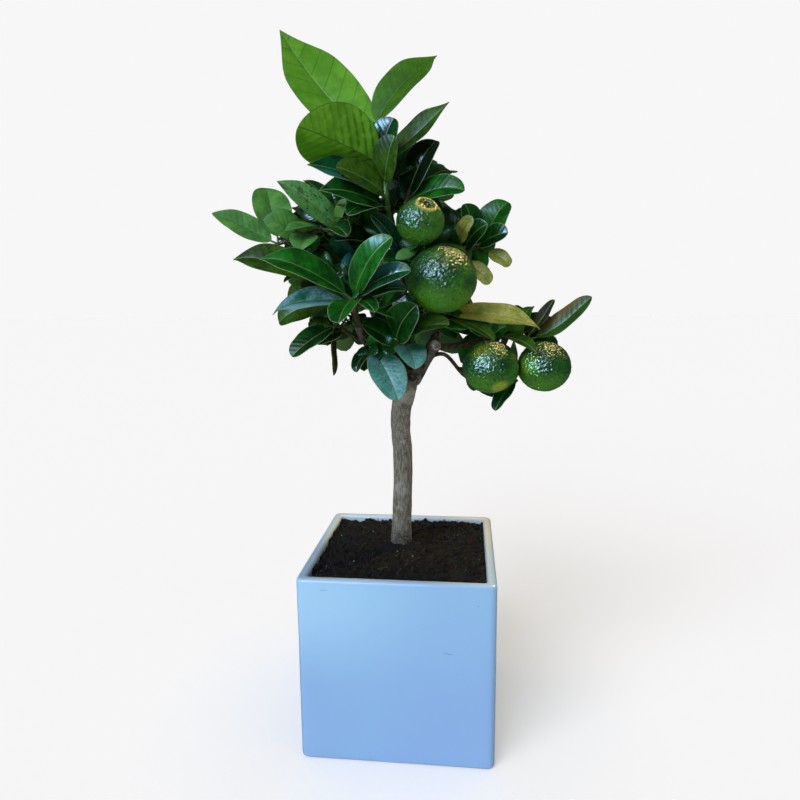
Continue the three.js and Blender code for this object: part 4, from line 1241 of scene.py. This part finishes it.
def bark_finish():
    """Young citrus bark: matt grey cork over brown, with fine cracks and a few dark scars."""
    finish, node, bsdf = new_material("citrus_bark_grey_brown", Roughness=0.85)
    along, place = node("grain"), node("place")
    longer = node("stretch", along, (1, 1, 0.35))
    streaks = spots(node, longer, 1.4, 0.32, 0.68, 6, 0.7)
    patches = spots(node, along, 9, 0.54, 0.66, 4, 0.6)
    flecks = spots(node, along, 1.3, 0.62, 0.7, 3, 0.6)
    scars = spots(node, along, 4, 0.62, 0.7, 4, 0.65)
    fork = node("ramp", node("axis", place), 296 * MM, 322 * MM)
    creases = spots(node, longer, 3.2, 0.48, 0.6, 4, 0.6)
    broken = spots(node, along, 3, 0.3, 0.56, 3, 0.6)
    layers = [
        (patches, 0.4, "#a3a293"),
        (flecks, 0.6, "#b3b2a4"),
        (scars, 0.75, "#2b231c"),
        # Painted shade: from the fork up, under the crown, the bark is painted darker, and its creases there
        # are real creases painted near black with shade.
        (fork, 0.6, "#2e251d"),
        (node("MULTIPLY", fork, creases), 0.9, "#0d0907"),
    ]
    for centre, radius, colour, share in BARK_MARKS:
        layers.append((node("MULTIPLY", near(node, place, centre, radius), broken), share, colour))
    paint(node, bsdf, node("mix", streaks, "#454136", "#827f70"), layers)
    emboss(node, bsdf, node("noise", longer, per_mm(0.9), 4.0, 0.7), 0.25)
    return finish


bark.data.materials.append(bark_finish())
finish_piece(bark, "bark", *LIMBS)

# %% [markdown]
# ## Stems, twigs and leaf stalks
# Young citrus wood is green and only turns brown with age, so the stems shade from olive brown near the
# boughs to green at the twigs. Each stem starts inside its bough, so the joint never shows a gap. They are
# short tapered tubes, gathered into two meshes: one of the stems, one of the twigs and leaf stalks.

# %% Finishes for green wood
def green_wood(name, colour, streak, roughness=0.5):
    """Soft young wood, mottled in two colours."""
    finish, node, bsdf = new_material(name, Roughness=roughness)
    mottle = spots(node, node("place"), 3, 0.35, 0.7, 3)
    feed(bsdf.inputs["Base Color"], node("mix", mottle, colour, streak))
    return finish


OLD_STEM = green_wood("stem_bark_olive_brown", "#292311", "#4a4427", 0.65)
TWIG_SKIN = green_wood("twig_skin_green", "#2c4318", "#3f5f22")
FLUSH_SKIN = green_wood("flush_skin_pale_green", "#2f4c17", "#4a6c24")
STALK_SKIN = green_wood("leaf_stalk_green", "#31521b", "#4a7026")
print("green wood:", OLD_STEM.name, TWIG_SKIN.name, FLUSH_SKIN.name, STALK_SKIN.name)

# %% Build the stems, twigs and leaf stalks
STEM_SIDES = 10
TWIG_SIDES = 8
STALK_SIDES = 6
STALK_SHARE = 0.11
STALK_ROWS = ((0, 1.35), (0.03, 1.0), (0.08, 0.85))  # place on the leaf and thickness
STALK_THICK = (0.55, 0.008)  # in mm, and what each mm of the leaf's length adds
STALK_BELOW = 0.35  # mm under the blade's middle, so that the stalk runs on below it
STEM_OVERLAP = 5.0
TWIG_RADIUS = 1.25
FINE_TWIG_RADIUS = 0.85


def lengthened(points, reach):
    """The same rows with one more, this far back from the first."""
    a, b = np.array(points[0][:3], float), np.array(points[1][:3], float)
    return [(*(a - reach * unit(b - a)), points[0][3] * 1.1), *points]


def blade_middle(leaf, s):
    """The place on a leaf's midrib and the direction square to its face, s from 0 at the root to 1."""
    arch, length = leaf["arch"], leaf["length"]
    bend = arch * (0.5 - s)
    forward = length / arch * (math.sin(arch / 2) - math.sin(bend))
    lift = length / arch * (math.cos(bend) - math.cos(arch / 2))
    middle = leaf["base"] + leaf["along"] * forward + leaf["face"] * lift
    return middle, leaf["face"] * math.cos(bend) - leaf["along"] * math.sin(bend)


def stalk_share(leaf):
    """How much of a leaf is stalk. It is short on the new shoot and long on the small spoon-shaped leaves."""
    return {"flush": 0.05, "spoon": 0.4}.get(leaf["tone"].split("_")[0], STALK_SHARE)


def stalk_rows(leaf):
    thick = STALK_THICK[0] + STALK_THICK[1] * leaf["length"]
    rows = []
    for s, share in (*STALK_ROWS, (stalk_share(leaf) + 0.05, 0.7)):
        middle, normal = blade_middle(leaf, s)
        rows.append((*(middle - normal * STALK_BELOW), thick * share))
    return rows


wood = Heap()
green = Heap()
for name, mass in MASSES.items():
    flush = name == "leaves_top"
    stem_rows = lengthened(mass["stem"], STEM_OVERLAP)
    wood.add(*tube(stem_rows, STEM_SIDES), 1 if flush else 0)
    leaves, twigs = GROWN[name]
    sprays = [(*twig, TWIG_RADIUS) for twig in twigs] + [(*twig, FINE_TWIG_RADIUS) for twig in FINE[name]]
    for start, end, _, thick in sprays:
        way = unit(end - start)
        middle = (start + end) / 2
        rows = [(*(start - way * 0.5), thick), (*middle, thick * 0.85), (*(end + way), thick * 0.5)]
        green.add(*tube(rows, TWIG_SIDES, 4), 0)
    for leaf in leaves + [leaf for _, _, kept in FINE[name] for leaf in kept]:
        green.add(*tube(stalk_rows(leaf), STALK_SIDES, 5), 1)
stems = wood.piece("stems", [OLD_STEM, FLUSH_SKIN])
finish_piece(stems, "bark")
twigs_piece = green.piece("twigs", [TWIG_SKIN, STALK_SKIN])
finish_piece(twigs_piece, "foliage")

# %% [markdown]
# ## Leaf finishes
# A citrus leaf is a waxy, deep green blade, smooth above and paler below, with a thin pale margin and side
# veins that bend towards its tip. New shoots are thin, soft and yellow-green, and their veins show dark. Each
# tone is a set of plain colours, dealt out by leaf. The vein pattern reads the blade's own map, which counts
# in steps from vein to vein, so it fits each leaf whatever its length.

# %% Tones of the leaves
# Some tones hold painted light. The bluish, sheen and sheen_pale leaves are painted with a bluish reflection
# of the sky, and the gold and spoon leaves are yellow-green with the lamp's warm light painted into their
# colour.
TONES = {
    # name: top, patches, veins, how far the veins show, roughness, underside
    "flush": ("#68a62e", "#54901f", "#37680f", 0.55, 0.5, "#76aa48"),
    "flush_olive": ("#447808", "#366204", "#2a4e04", 0.6, 0.6, "#5c8a30"),
    "flush_under": ("#6ba82a", "#528c1b", "#38700f", 0.7, 0.55, "#5c9638"),
    "olive": ("#3a620b", "#213d05", "#3e661c", 0.25, 0.42, "#46662a"),
    "rich": ("#126c08", "#063c05", "#1f7412", 0.3, 0.34, "#386c28"),
    "deep": ("#0c4e0c", "#042905", "#165416", 0.2, 0.3, "#2c5822"),
    "blackish": ("#031f08", "#021605", "#0a2f0c", 0.25, 0.28, "#1f401e"),
    "bluish": ("#08522e", "#04321c", "#156042", 0.25, 0.25, "#346446"),
    "sheen": ("#14604a", "#0f5240", "#2a6c58", 0.25, 0.3, "#3e7458"),
    "sheen_pale": ("#37886c", "#2c765c", "#3f8a70", 0.25, 0.34, "#4e8468"),
    "matte": ("#589a42", "#427a32", "#64a254", 0.25, 0.6, "#54864a"),
    "spotted": ("#5f9e56", "#488442", "#74b068", 0.25, 0.45, "#5a8c4c"),
    "brown": ("#3a3514", "#28260e", "#524b22", 0.3, 0.5, "#504c2c"),
    "tanned": ("#2f5a12", "#26480c", "#3c5c1c", 0.25, 0.42, "#46662a"),
    "spoon": ("#b3b056", "#7c8a30", "#5f7a24", 0.2, 0.42, "#8c8e50"),
    "gold": ("#b4b153", "#808a34", "#b2b256", 0.3, 0.42, "#8c8e50"),
    "pale": ("#5e8c38", "#4a762c", "#7aa452", 0.3, 0.45, "#76945a"),
}
GLOSS = {"flush": 0.12, "olive": 0.22, "matte": 0.25, "spotted": 0.25, "rich": 0.32, "brown": 0.25}
# Most halves here are painted light: painted shade on one half of the flush leaves and on the gold leaf's
# greener half, and a painted reflection of the sky on the bluish and sheen leaves. The tanned leaf has a
# brown half.
HALF_TINTS_AND_PAINTED_LIGHT = {  # which half of the blade differs, its colour and how far it goes
    "flush": (1, "#4c8620", 0.35),
    "flush_under": (-1, "#3c7a12", 0.65),
    "bluish": (1, "#3a8088", 0.4),
    "tanned": (1, "#7c6030", 0.6),
    "gold": (-1, "#66762a", 0.5),
    "sheen": (1, "#8cc4d0", 0.5),
}
PALE_MARGINS = {"rich", "deep", "blackish", "bluish", "sheen", "sheen_pale"}


print("tones:", ", ".join(TONES))


# %% Finish the blades
def veins_of(node):
    """1 on the side veins, the wave between two of them, and the two sides of the blade's map."""
    place = node("blade map")
    along, across = node("axis", place, out="X"), node("axis", place, out="Y")
    bent = node("MULTIPLY", node("POWER", node("ABSOLUTE", across), 1.15), 0.62)
    half_step = node("MULTIPLY", node("GREATER_THAN", across, 0.0), 0.5)
    phase = node("ADD", node("SUBTRACT", along, bent), half_step)
    wave = node("COSINE", node("MULTIPLY", phase, math.tau))
    return node("ramp", wave, 0.95, 1.0), wave, along, across


def own_layers(tone, node, place, wave, along):
    """What only some tones have on top, as layers of paint."""
    if tone == "flush_under":
        # Painted shade: dark bands between the side veins near the foot, in the folds of the blade.
        near_foot = node("ADD", node("MULTIPLY", node("ramp", along, 7.0, 3.0), 0.6), 0.15)
        painted_fold_shade = node("MULTIPLY", node("ramp", wave, -0.3, 0.8), near_foot)
        broken = spots(node, place, 7, 0.3, 0.6, 3)
        return [(node("MULTIPLY", painted_fold_shade, broken), 1.0, "#2a690c")]
    if tone.startswith("sheen"):
        # Painted reflection: pale blue speckled patches, the sky mirrored on the waxy blade.
        painted_sky_sheen = spots(node, place, 12, 0.3, 0.6, 2)
        grain = spots(node, place, 1.5, 0.26, 0.78, 4, 0.7)
        return [(node("MULTIPLY", painted_sky_sheen, grain), 1.0, "#86bcca")]
    if tone in ("gold", "spoon"):
        grain = spots(node, place, 1.6, 0.45, 0.7, 4, 0.7)
        return [(grain, 0.8, "#525d1c")]
    if tone == "spotted":
        blotch = spots(node, place, 9, 0.58, 0.68, 3, 0.6)
        dots = spots(node, place, 2, 0.62, 0.67, 1)
        return [(blotch, 0.75, "#3b3a22"), (dots, 0.85, "#16240f")]
    return []


def blade_finish(tone, top, patches, veins, strength, roughness):
    """The waxy upper side: a drifting green, its side veins and what only this tone has."""
    finish, node, bsdf = new_material("citrus_leaf_" + tone, Roughness=roughness)
    feed(bsdf.inputs["Specular IOR Level"], GLOSS.get(tone.split("_")[0], 0.42))
    place = node("place")
    drift = spots(node, place, 14, 0.36, 0.64, 5, 0.6)
    mottle = spots(node, place, 3.5, 0.42, 0.68, 4, 0.65)
    line, wave, along, across = veins_of(node)
    layers = [(mottle, 0.35, patches)]
    # One half of the blade painted otherwise: mostly painted shade or a painted reflection of the sky.
    if tone in HALF_TINTS_AND_PAINTED_LIGHT:
        side, colour, share = HALF_TINTS_AND_PAINTED_LIGHT[tone]
        layers.append((node("ramp", node("MULTIPLY", across, side), 0.0, 1.6), share, colour))
    layers += [(line, strength, veins), *own_layers(tone, node, place, wave, along)]
    paint(node, bsdf, node("mix", drift, top, patches), layers)
    emboss(node, bsdf, wave, 0.12, 0.5)
    emboss(node, bsdf, node("noise", place, per_mm(1.3), 3.0, 0.6), 0.16, 0.6)
    return finish


def underside_finish(tone, colour, veins):
    """The paler, matt side below, where the side veins show faintly."""
    finish, node, bsdf = new_material("leaf_underside_" + tone, Roughness=0.6)
    mottle = spots(node, node("place"), 5, 0.35, 0.7, 4, 0.6)
    line, wave = veins_of(node)[:2]
    paint(node, bsdf, colour, [(mottle, 0.25, veins), (line, 0.35, veins)])
    emboss(node, bsdf, wave, 0.1, 0.5)
    return finish


LEAF_TOPS, LEAF_UNDERS = {}, {}
for tone, (top, patches, veins, strength, roughness, under) in TONES.items():
    LEAF_TOPS[tone] = blade_finish(tone, top, patches, veins, strength, roughness)
    LEAF_UNDERS[tone] = underside_finish(tone, under, veins)
LEAF_UNDERS["flush_under"] = LEAF_TOPS["flush_under"]
MARGIN_PALE, MARGIN_DARK, RIB_PALE, RIB_FLUSH, RIB_DARK = (
    new_material(name, Base_Color=colour, Roughness=roughness)[0]
    for name, colour, roughness in (
        ("leaf_margin_pale", "#7d9566", 0.5),
        ("leaf_margin_dark", "#3e5420", 0.5),
        ("midrib_pale_green", "#5d8440", 0.4),
        ("midrib_flush_green", "#7da850", 0.45),
        ("midrib_dark_green", "#3a6116", 0.5),
    )
)
print("leaf finishes:", len(LEAF_TOPS) + len(LEAF_UNDERS), "and 5 for margins and ribs")

# %% [markdown]
# ## Leaf blades
# A blade is two grids of points, its upper and under sides, joined round a thin rim, so it is a closed solid
# about a third of a millimetre thick. It arches along its midrib, folds up from it a little, ripples at its
# edge and ends in a point. Leaves with rows get many points and raised ribs, the others a few dozen faces.

# %% Shape of a blade
BLADE_THICK = 0.36
EDGE_THIN = 0.35  # how much of that the edge lacks
PUCKER_MM = 0.1
GROOVE_MM = 0.12  # how deep the midrib lies in the upper side
RIB_SWELL = (0.5, 0.8)  # how far the midrib stands out below, and how wide
EDGE_NOTCHES = (9, 0.35)  # half waves along the edge, and their depth
EDGE_WAVES = (11, 1.9, 2.2)  # pace along the blade, shift between its sides, and how near the edge they keep
BASE_POWER = 0.6
TIP_POWER = 0.65
TIP_START = 0.68
MARGIN_MM = 0.36
RIB_MM = 0.75
VEIN_PAIRS = 11
LEAST_HALF = 0.28
POINTED = (-0.12, 0.28)  # how far a tip is drawn out on short leaves and on long ones
TONE_TIPS = {  # the same for tones whose leaves in the photo are all more pointed or blunter
    "flush_under": 0.03, "flush": 0.28, "flush_olive": 0.35, "matte": 0.1, "blackish": -0.15, "spotted": 0.2,
    "spoon": -0.2, "sheen_pale": -0.05,
}
LONG_LEAF = 62
FOLDS = (9, 14)  # how far a drawn leaf's halves and a shown one's fold up from the midrib, in degrees


def half_width(u, pointed):
    """Half of a blade's width over its full width, u from 0 at its foot to 1 at its tip."""
    widest = BASE_POWER / (BASE_POWER + TIP_POWER)
    top = widest**BASE_POWER * (1 - widest) ** TIP_POWER
    near_tip = np.clip((u - TIP_START) / (1 - TIP_START), 0, 1)
    power = TIP_POWER + pointed * near_tip * near_tip * (3 - 2 * near_tip)
    return 0.5 * u**BASE_POWER * np.clip(1 - u, 0, 1) ** power / top


def cross_places(half, fine):
    """Where a row's points lie, from -1 to 1 across, with narrow strips for the margin and the midrib."""
    if not fine:
        return np.array([-1.0, -0.5, 0.0, 0.5, 1.0])
    margin = 1 - min(0.3, MARGIN_MM / half)
    rib = min(0.2, RIB_MM / 2 / half)
    right = np.array([0, rib, *(between(rib, margin, share) for share in (0.25, 0.5, 0.75)), margin, 1.0])
    return np.concatenate([-right[:0:-1], right])


print("a blade is widest at", round(BASE_POWER / (BASE_POWER + TIP_POWER), 2), "of its length")


# %% Points of a blade
def blade_points(leaf, rows, fine, rest):
    """The upper and under points of a blade, row by row, with their places on the blade's map."""
    length, width = leaf["length"], leaf["width"]
    wave, phase_at, twist, curl, ripple, lean = rest
    notches, notch = EDGE_NOTCHES
    pace, shift, power = EDGE_WAVES
    swell_high, swell_wide = RIB_SWELL
    side = np.cross(leaf["face"], leaf["along"])
    fold = math.radians(FOLDS[leaf["shown"]])
    pairs = 8 if leaf["tone"] == "flush" else VEIN_PAIRS
    step = max(4.5, length / pairs) if leaf["shown"] else length / pairs
    stalk = stalk_share(leaf)
    u_row = 0.5 - 0.5 * np.cos(np.linspace(0, math.pi, rows + 1))
    pointed = TONE_TIPS.get(leaf["tone"], POINTED[length > LONG_LEAF])
    halves = np.maximum(width * half_width(u_row, pointed), LEAST_HALF)
    over, under, places = [], [], []
    for u, half in zip(u_row, halves):
        s = stalk + (1 - stalk) * u
        middle, normal = blade_middle(leaf, s)
        middle = middle + side * lean * math.sin(math.pi * u) * 0.5
        middle = middle - normal * curl * max(0.0, u - 0.6) ** 2 * length
        across_way = turned(side, leaf["along"], twist * (u - 0.4))
        up_way = turned(normal, leaf["along"], twist * (u - 0.4))
        v = cross_places(half, fine)
        edge = 1 + ripple * notch * math.sin(notches * u * math.pi + phase_at) if fine else 1.0
        x = v * half * edge
        rise = half * math.sin(fold) * (1.5 * np.abs(v) - 0.5 * v * v)
        waves = np.sin(u * pace + phase_at + (v > 0) * shift)
        rise += wave * np.abs(v) ** power * waves * math.sin(math.pi * u)
        if fine:
            phase = (1 - stalk) * u * length / step - 0.62 * (np.abs(x) / step) ** 1.15 + 0.5 * (v > 0)
            body = np.clip(np.abs(v) * 6, 0, 1) * np.clip((1 - np.abs(v)) * 4, 0, 1)
            rise -= PUCKER_MM * (0.5 + 0.5 * np.cos(math.tau * phase)) ** 3 * body
            rise = np.where(np.abs(v) < 0.001, rise - GROOVE_MM, rise)
        thick = BLADE_THICK * (1 - EDGE_THIN * np.abs(v))
        row = middle + np.outer(x * math.cos(fold), across_way) + np.outer(rise, up_way)
        over.append(row + np.outer(thick / 2, up_way))
        swell = (swell_high * np.exp(-((x / swell_wide) ** 2)) if fine else 0.0) * (1 - 0.7 * u)
        under.append(row - np.outer(thick / 2 + swell, up_way))
        along_map = (1 - stalk) * u * length / step
        places.append(np.stack([np.full(len(v), along_map), x / step], axis=1))
    return np.array(over), np.array(under), np.array(places)


print("a shown leaf folds up by", FOLDS[True], "degrees, and any other by", FOLDS[False])


# %% Faces of a blade
def blade_faces(rows, columns):
    """Faces of the two sides and the rim. The kind of each is over, under or rim."""
    n = columns + 1
    count = (rows + 1) * n
    faces, kinds, strips = [], [], []
    for i in range(rows):
        for j in range(columns):
            a = i * n + j
            faces.append([a, a + n, a + n + 1, a + 1])
            kinds.append(0)
            strips.append(j)
            faces.append([count + a, count + a + 1, count + a + n + 1, count + a + n])
            kinds.append(1)
            strips.append(j)
    border = [i * n for i in range(rows + 1)] + [rows * n + j for j in range(1, n)]
    border += [i * n + columns for i in range(rows - 1, -1, -1)] + list(range(columns - 1, 0, -1))
    for a, b in zip(border, border[1:] + border[:1]):
        faces.append([a, count + a, count + b, b])
        kinds.append(2)
        strips.append(-1)
    return faces, np.array(kinds), np.array(strips)


FINE_GRID = (34, 12)
PLAIN_GRID = (9, 4)
SMALL_GRID = (6, 2)
RIBS = {"flush": RIB_FLUSH, "flush_olive": RIB_DARK, "flush_under": RIB_DARK}
GRIDS = {grid: blade_faces(*grid) for grid in (FINE_GRID, PLAIN_GRID, SMALL_GRID)}
print("faces of a blade:", {grid: len(faces) for grid, (faces, _, _) in GRIDS.items()})


# %% Add blades to a heap
class Palette:
    """Gives each material of a piece its number as it is first used."""

    def __init__(self):
        self.materials = []

    def __call__(self, material):
        if material not in self.materials:
            self.materials.append(material)
        return self.materials.index(material)


REST_RANGES = (  # what varies from blade to blade: its waves, their phase, twist, curl, ripple and lean
    (0.4, 1.3), (0, math.tau), (-14, 14), (0.05, 0.5), (0.004, 0.016), (-0.05, 0.05),
)
FLUSH_TWIST = 4


def add_blade(heap, palette, leaf, grid, draw):
    fine = grid == FINE_GRID
    wave, phase, twist, curl, ripple, lean = (between(*ends, next(draw)) for ends in REST_RANGES)
    flush = leaf["tone"].startswith("flush")
    if flush:
        twist, curl = FLUSH_TWIST, 0.0
    wave *= (0.45 if flush else 0.55) * (leaf["length"] / 60) * (1 if fine else 0.6)
    rest = (wave, phase, twist, curl, ripple, lean * leaf["length"])
    over, under, places = blade_points(leaf, grid[0], fine, rest)
    if grid == SMALL_GRID:
        keep = [0, 2, 4]
        over, under, places = over[:, keep], under[:, keep], places[:, keep]
    faces, kinds, strips = GRIDS[grid]
    tone = leaf["tone"]
    top, below = palette(LEAF_TOPS[tone]), palette(LEAF_UNDERS[tone])
    margin = palette(MARGIN_PALE if tone in PALE_MARGINS else MARGIN_DARK)
    slots = np.where(kinds == 0, top, np.where(kinds == 1, below, margin))
    if fine:
        rib = palette(RIBS.get(tone, RIB_PALE))
        columns = grid[1]
        on_margin = (strips == 0) | (strips == columns - 1)
        on_rib = (strips == columns // 2) | (strips == columns // 2 - 1)
        slots = np.where((kinds < 2) & on_margin, margin, slots)
        slots = np.where((kinds < 2) & on_rib, rib, slots)
    points = np.concatenate([over.reshape(-1, 3), under.reshape(-1, 3)])
    maps = np.concatenate([places.reshape(-1, 2), places.reshape(-1, 2)])
    heap.add(points, faces, slots, (kinds < 2).tolist(), maps)


# %% Deal out tones and build the blades
SPRAY_TONES = (("deep", 0.52), ("rich", 0.74), ("olive", 0.88), ("bluish", 0.94), ("matte", 1.0))


def dealt_tone(share):
    return next(tone for tone, up_to in SPRAY_TONES if share <= up_to)


for name, mass in MASSES.items():
    heap, palette = Heap(), Palette()
    draw = numbers(mass["seed"] + 900)
    leaves, twigs = GROWN[name]
    shown = [leaf for leaf in leaves if leaf["shown"]]
    for leaf in shown:
        add_blade(heap, palette, leaf, FINE_GRID, draw)
    for sprays, grid in ((twigs, PLAIN_GRID), (FINE[name], SMALL_GRID)):
        for _, _, kept in sprays:
            tone = dealt_tone(next(draw))
            for leaf in kept:
                leaf["tone"] = tone
                add_blade(heap, palette, leaf, grid, draw)
    blades = heap.piece(name.replace("leaves", "blades"), palette.materials, mapped=True)
    finish_piece(blades, "young_foliage" if name == "leaves_top" else "foliage", name)

# %% [markdown]
# ## Fruit
# A green lime is a slightly flattened ball with an uneven, pitted peel. Its lumps are big enough for the mesh
# and its oil pits, a millimetre or two apart, are relief in the finish. The peel is a little yellower towards
# the bottom. At its top sits a small green star, the calyx, where the stalk comes in.

# %% Shape a fruit
FRUIT_FLAT = 0.94
FRUIT_LUMP = 0.55
FRUIT_LUMPS = ((11, 0.6), (3.9, 0.35), (2.0, 0.55))  # their size and their height
STALK_DIMPLE = (1.6, 0.93)  # how deep, and from where on, as the cosine of the angle to the stalk
TIP_DIMPLE = (0.7, 0.975)
# The golden ring below is a painted highlight of the lamp, on a raised ring of the peel.
RING_FRUIT = (19.8, -62, 439)  # the fruit with a golden ring round an old scar
RING_FRUIT_MM = 18.3
RING_WAY = np.array([0.34, -0.61, 0.71])
RING_RADIUS = 7.6
RING_RELIEF = ((RING_RADIUS, 1.7, 1.0), (0, 4.6, -4.2))  # ring, dimple: place, width, height
PEEL_MARKS = (  # centre, radius, colour and how far it covers
    ((82, -53, 312), 9, "#a3a81c", 0.6),  # where two fruits have begun to ripen, in four places
    ((66, -52, 341), 10, "#6b7d1c", 0.6),
    ((104, -46, 332), 11, "#5d8a10", 0.7),
    ((26, -86, 380), 14, "#3f8410", 0.5),
    # painted shade: the dimple inside the ring
    ((26, -73.2, 450), 7, "#08260a", 0.9),  # the dark middle of the ring
)
PIT_MM = 2.2  # drawn a little coarser than the real pits, so that they show
PIT_DEPTH_MM = 1.0


def ball(detail):
    shape = bmesh.new()
    bmesh.ops.create_icosphere(shape, subdivisions=detail, radius=1.0)
    points = np.array([v.co for v in shape.verts])
    faces = [[v.index for v in face.verts] for face in shape.faces]
    shape.free()
    return points, faces


def fruit_shape(points, fruit, stalk_way):
    """A ball's points pushed into a fruit: lumps, a dimple at each end and, on one fruit, the ring."""
    _, x, y, z, radius = fruit
    seed = x * 0.37 + z * 0.11
    reach = np.full(len(points), float(radius))
    for size, depth in FRUIT_LUMPS:
        push = wander(points * radius, size, depth * FRUIT_LUMP, seed)
        reach += push - (0.15 * depth if size < 6 else 0)
    near_stalk = points @ stalk_way
    deep, begins = STALK_DIMPLE
    reach -= deep * np.clip((near_stalk - begins) / (1 - begins), 0, 1) ** 1.5
    deep, begins = TIP_DIMPLE
    reach -= deep * np.clip((-near_stalk - begins) / (1 - begins), 0, 1)
    if (x, y, z) == RING_FRUIT:
        off = np.arccos(np.clip(points @ unit(RING_WAY), -1, 1)) * radius
        for place, width, height in RING_RELIEF:
            reach += height * np.exp(-(((off - place) / width) ** 2))
    shaped = points * reach[:, None]
    shaped[:, 2] *= FRUIT_FLAT
    return shaped + np.array([x, y, z])


FRUIT_BALL = ball(6)
print("points of a fruit:", len(FRUIT_BALL[0]))


# %% Finish the peel and hang the fruits
def painted_ring_highlight(node, place):
    """1 on the ring round one fruit's old scar, painted gold as a highlight of the lamp, and 0 elsewhere."""
    middle = np.array(RING_FRUIT) + unit(RING_WAY) * RING_FRUIT_MM * (1, 1, FRUIT_FLAT)
    away = node("distance", place, tuple(middle * MM))
    off = node("ABSOLUTE", node("SUBTRACT", away, RING_RADIUS * MM))
    return node("ramp", off, 1.7 * MM, 0.6 * MM)


def peel_finish():
    """Unripe citrus peel: waxy and pitted with oil glands, deep green, yellower below and where it ripens."""
    peel, node, bsdf = new_material(
        "lime_peel_green",
        Roughness=0.42,
        IOR=1.5,
        Specular_IOR_Level=0.4,
        Coat_Weight=1.0,
        Coat_Roughness=0.19,
    )
    place = node("place")
    drift = spots(node, place, 14, 0.36, 0.66, 4, 0.6)
    lower_side = node("MULTIPLY", node("ramp", node("axis", node("normal")), 0.1, -0.7), 0.6)
    patch = node("MULTIPLY", spots(node, place, 30, 0.5, 0.62, 1), 0.4)
    pits = node("cells", place, per_mm(PIT_MM))
    layers = [
        (node("MAXIMUM", lower_side, patch), 1.0, "#4c8c10"),
        # Painted shade: the bottom of each pit is painted darker.
        (node("ramp", pits, 0.35, 0.05), 0.6, "#062408"),
        # Painted highlight: the ring is painted gold where the lamp catches it.
        (painted_ring_highlight(node, place), 0.8, "#b5a24a"),
    ]
    for middle, radius, colour, share in PEEL_MARKS:
        layers.append((near(node, place, middle, radius), share, colour))
    paint(node, bsdf, node("mix", drift, "#08390d", "#15540b"), layers)
    emboss(node, bsdf, pits, PIT_DEPTH_MM)
    emboss(node, bsdf, node("noise", place, per_mm(2.0), 3.0, 0.6), 0.7)
    feed(bsdf.inputs["Coat Normal"], bsdf.inputs["Normal"].links[0].from_socket)
    return peel


SHOULDER = 0.93  # where the stalk meets the fruit, over its radius
STALK_RADII = (1.3, 1.25, 1.7)
STALK_RISE = 1.5
STAR_REACH = (2.6, 0.9)  # its mean reach and how far its lobes go out and in
STAR_LOBES = 5
STAR_SIDES = 30
STAR_RINGS = ((0.3, -0.5), (1.0, 0.0), (1.0, 0.5), (0.3, 1.1))  # width and height of its rings, from below
peels, stars = Heap(), Heap()
for mass in MASSES.values():
    for fruit in mass.get("fruits", []):
        at, *centre, radius = fruit
        start = on_line(mass["stem"], at)
        stalk_way = unit(start - centre)
        points, faces = FRUIT_BALL
        peels.add(fruit_shape(points, fruit, stalk_way), faces, 0)
        shoulder = centre + stalk_way * radius * SHOULDER
        half = (start + shoulder) / 2 + UP * STALK_RISE
        rows = [(*place, thick) for place, thick in zip((start, half, shoulder), STALK_RADII)]
        stars.add(*tube(rows, 8, 8), 0)
        first = square_to(stalk_way, UP if abs(stalk_way[2]) < 0.9 else np.array([1.0, 0, 0]))
        second = np.cross(stalk_way, first)
        turn = np.arange(STAR_SIDES) / STAR_SIDES * math.tau
        reach = STAR_REACH[0] + STAR_REACH[1] * np.cos(turn * STAR_LOBES)
        ring = np.outer(reach * np.cos(turn), first) + np.outer(reach * np.sin(turn), second)
        rings = [shoulder + stalk_way * lift + share * ring for share, lift in STAR_RINGS]
        stars.add(np.concatenate(rings), skin(rings), 0)
peel_piece = peels.piece("fruit_peels", [peel_finish()])
finish_piece(peel_piece, "fruit_peel")
star_piece = stars.piece("fruit_stalks", [TWIG_SKIN])
finish_piece(star_piece, "foliage")
